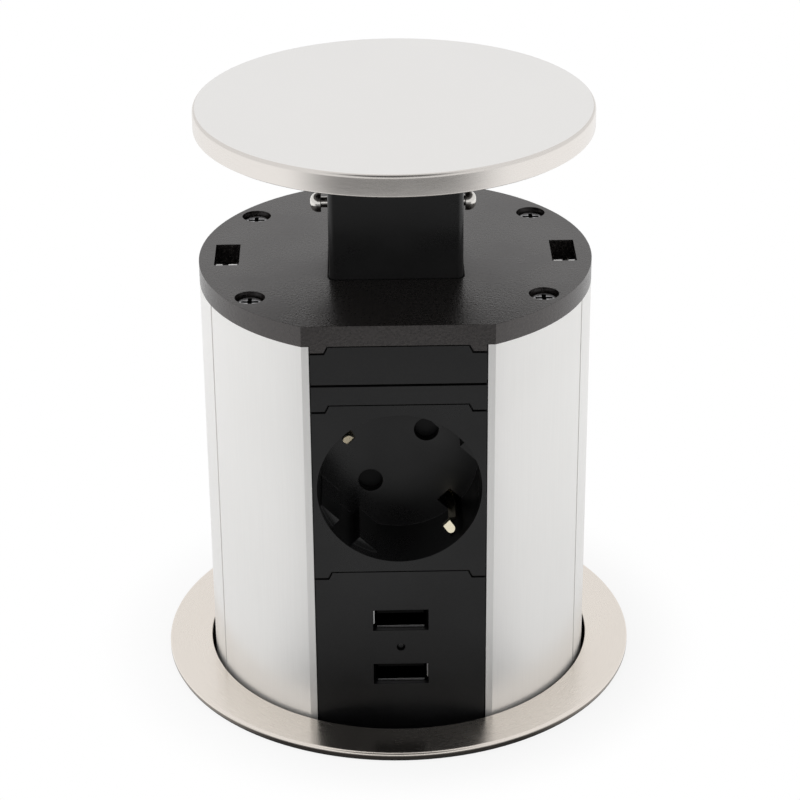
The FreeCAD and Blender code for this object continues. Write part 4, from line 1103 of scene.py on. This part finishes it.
@dataclass
class ChargerPorts:
    """Folded steel shells of the two charger ports, and the lens of the lamp between them."""

    half_wide: float = 6.55
    half_high: float = 2.75
    corner: float = 0.9
    sheet: float = 0.3
    face: float = -41.51
    sunk: float = 1.5
    long: float = 12.9
    lip: float = 0.5
    lit_half: float = 1.6
    lamp_long: float = 3.4
    lamp_radius: float = 0.95
    lamp_round: float = 0.5
    lamp_back: float = 0.1
    lamp_steps: int = 32
    lamp_spot: Place = (0.0, -37.51, 21.15)
    ports: tuple[tuple[str, float, int], ...] = (("upper", 28.65, -1), ("lower", 13.65, 1))

    def outline(self, inset: float) -> list[tuple[float, float]]:
        """Give the shell's rounded outline.

        Args:
            inset: How far inside the shell's outer face.

        Returns:
            Points across and up, in millimetres.
        """
        wide, high = self.half_wide - inset, self.half_high - inset
        corner = self.corner - inset
        return curved([(-wide, -high, corner), (wide, -high, corner), (wide, high, corner),
                       (-wide, high, corner)])

    def fill_shell(self, shape: Shape, height: float, lit_side: int) -> None:
        """Fill the bmesh with one shell, open at the front, its lower lip and part of one side left bright
        where light catches them, and the rest in painted shade.

        Args:
            shape: Empty mesh.
            height: Height of the shell's middle in millimetres.
            lit_side: Side whose front edge is left bright too, where light catches it, -1 for left and 1 for
                right.
        """
        front, back = self.face + self.sunk, self.face + self.sunk + self.long
        rows = []
        folds = ((0.0, back), (0.0, front), (self.sheet, front), (self.sheet, back - self.sheet))
        for inset, depth in folds:
            rise = self.lip - self.sheet if inset else 0.0
            rows.append([shape.verts.new(Vector((x, depth, height + z + (rise if z < 0 else 0.0))) * MM)
                         for x, z in self.outline(inset)])
        for index, (row, other) in enumerate(zip(rows, rows[1:])):
            for here in range(len(row)):
                there = (here + 1) % len(row)
                face = shape.faces.new((row[here], row[there], other[there], other[here]))
                # Only the front edge's lower lip and the middle of one side keep the bright nickel; all
                # other faces take painted shade.
                middle = face.calc_center_median() / MM - Vector((0.0, 0.0, height))
                low = middle.z < self.lip - self.half_high and abs(middle.x) < self.half_wide - self.corner
                side = middle.x * lit_side > self.half_wide - self.sheet and abs(middle.z) < self.lit_half
                face.material_index = int(index != 1 or not (low or side))
        shape.faces.new(rows[0]).material_index = 1
        shape.faces.new(rows[-1]).material_index = 1

    def build(self) -> None:
        """Make both shells, and the lamp's sunk and domed lens."""
        for name, height, side in self.ports:
            fill = partial(self.fill_shell, height=height, lit_side=side)
            shell = mesh_object(f"port_shell_{name}", fill, NICKEL, NICKEL_PAINTED_SHADE)
            stand_in(shell, "tower", f"usb_port_{name}")
        outline = curved([
            (0.0, self.lamp_long, SHARP), (self.lamp_radius, self.lamp_long, self.lamp_round),
            (self.lamp_radius, 0.0, self.lamp_back), (0.0, 0.0, SHARP),
        ])
        forward = Matrix.Rotation(math.pi / 2, 3, "X")
        fill = turned(lathe(outline, self.lamp_steps), forward, [self.lamp_spot])
        stand_in(mesh_object("lamp_dome", fill, LAMP), "tower", "lamp_lens")


@dataclass
class EarthStrips:
    """Spring strips of both sockets, bent to a U with flared and rounded tips."""

    half_width: float = 1.1
    thick: float = 0.6
    socket_height: float = 64.05
    angle: float = 45.0
    bend_steps: int = 5
    end_step: float = 0.25
    narrowest: float = 0.12
    path: tuple[Place, ...] = (
        (17.1, 18.0, 0.7), (34.0, 18.0, 2.0), (37.5, 15.3, 0.8), (39.15, 18.05, 0.0))

    def centre_line(self) -> list[Vector]:
        """Give the strip's middle line, with short steps at its ends for the rounded tips.

        Returns:
            Points as depth and distance from the socket's axis, in millimetres.
        """
        left = [(depth, -off, bend) for depth, off, bend in reversed(self.path)]
        bent = [Vector(point) for point in curved([*left, *self.path], self.bend_steps)]
        line = [bent[0]]
        for point in bent[1:]:
            start = line[-1]
            at_end = point in (bent[1], bent[-1])
            count = max(1, math.ceil((point - start).length / self.end_step)) if at_end else 1
            line += [start.lerp(point, step / count) for step in range(1, count + 1)]
        return line

    def fill(self, shape: Shape) -> None:
        """Fill the bmesh with the strip of the front socket.

        Args:
            shape: Empty mesh.
        """
        line = self.centre_line()
        reached = [0.0]
        for here, there in zip(line, line[1:]):
            reached.append(reached[-1] + (there - here).length)
        lean = math.radians(self.angle)
        rings = []
        for index, point in enumerate(line):
            along = (line[min(index + 1, len(line) - 1)] - line[max(index - 1, 0)]).normalized()
            out = Vector((-along.y, along.x))
            to_end = min(reached[index], reached[-1] - reached[index])
            share = 1.0 - min(1.0, to_end / self.half_width)
            wide = max(self.narrowest, self.half_width * math.sqrt(1.0 - share * share))
            ring = []
            for across, off in ((-wide, -1), (wide, -1), (wide, 1), (-wide, 1)):
                depth, radial = point + out * off * self.thick / 2
                x = across * math.cos(lean) - radial * math.sin(lean)
                z = across * math.sin(lean) + radial * math.cos(lean)
                ring.append(shape.verts.new(Vector((x, -depth, self.socket_height + z)) * MM))
            rings.append(ring)
        bridge(shape, rings)

    def build(self) -> None:
        """Make both strips."""
        for name, turn in (("front", 0.0), ("back", math.pi)):
            about = Matrix.Rotation(turn, 3, "Z")
            fill = turned(self.fill, about, [(0.0, 0.0, 0.0)])
            strip = mesh_object(f"{name}_earth_strip", fill, EARTH_STRIP)
            stand_in(strip, "tower", f"{name}_earth_bracket")


@dataclass
class WindowTabs:
    """Folded sheet tabs hooked over the near wall inside both windows of the top plate."""

    near_wall: float = -5.68
    top: float = 105.75
    deep: float = 1.15
    sheet: float = 0.5
    leg: float = 6.0
    overlap: float = 0.1
    edge: float = 0.08
    spans: tuple[tuple[float, float], ...] = (
        (-42.75, -41.2), (-39.8, -37.65), (37.65, 39.8), (41.2, 42.75))

    def fill(self, shape: Shape) -> None:
        """Fill the bmesh with every tab and its leg.

        Args:
            shape: Empty mesh.
        """
        for left, right in self.spans:
            add_block(shape, (left, self.near_wall, self.top - self.sheet),
                      (right, self.near_wall + self.deep, self.top), self.edge)
            add_block(shape, (left, self.near_wall, self.top - self.leg),
                      (right, self.near_wall + self.sheet, self.top - self.overlap), self.edge)

    def build(self) -> None:
        """Make the tabs."""
        tabs = mesh_object("window_tabs", self.fill, SATIN_ALUMINIUM)
        stand_in(tabs, "tower", slot="shell_aluminium")


@dataclass
class CarriedNodes:
    """CAD nodes that are shown as they are, with a finish of their own."""

    nodes: dict[str, bpy.types.Object]

    def dress(self) -> None:
        """Give each CAD node its finish.

        Raises:
            ValueError: If a node is left without one.
        """
        left = set(self.nodes)
        for finish, names in NODE_FINISHES.items():
            for name in names:
                node = self.nodes[name]
                node.data.materials.clear()
                node.data.materials.append(finish.material())
                left.discard(name)
                LOG.info("dressed %s with %s", name, finish.name)
        if left:
            raise ValueError(f"nodes without a finish: {sorted(left)}")


def main() -> None:
    """Build the studio and dress the tower, piece by piece."""
    logging.basicConfig(level=logging.INFO, format="%(message)s")
    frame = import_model()
    bpy.context.scene.view_settings.view_transform = "Standard"
    PhotoCamera().build()
    Studio().build()
    CarriedNodes(frame["nodes"]).dress()
    Lid().build()
    WorktopFitting().build()
    CaseScrews().build()
    LidSpring().build()
    ChargerPorts().build()
    EarthStrips().build()
    WindowTabs().build()


if __name__ == "__main__":
    main()
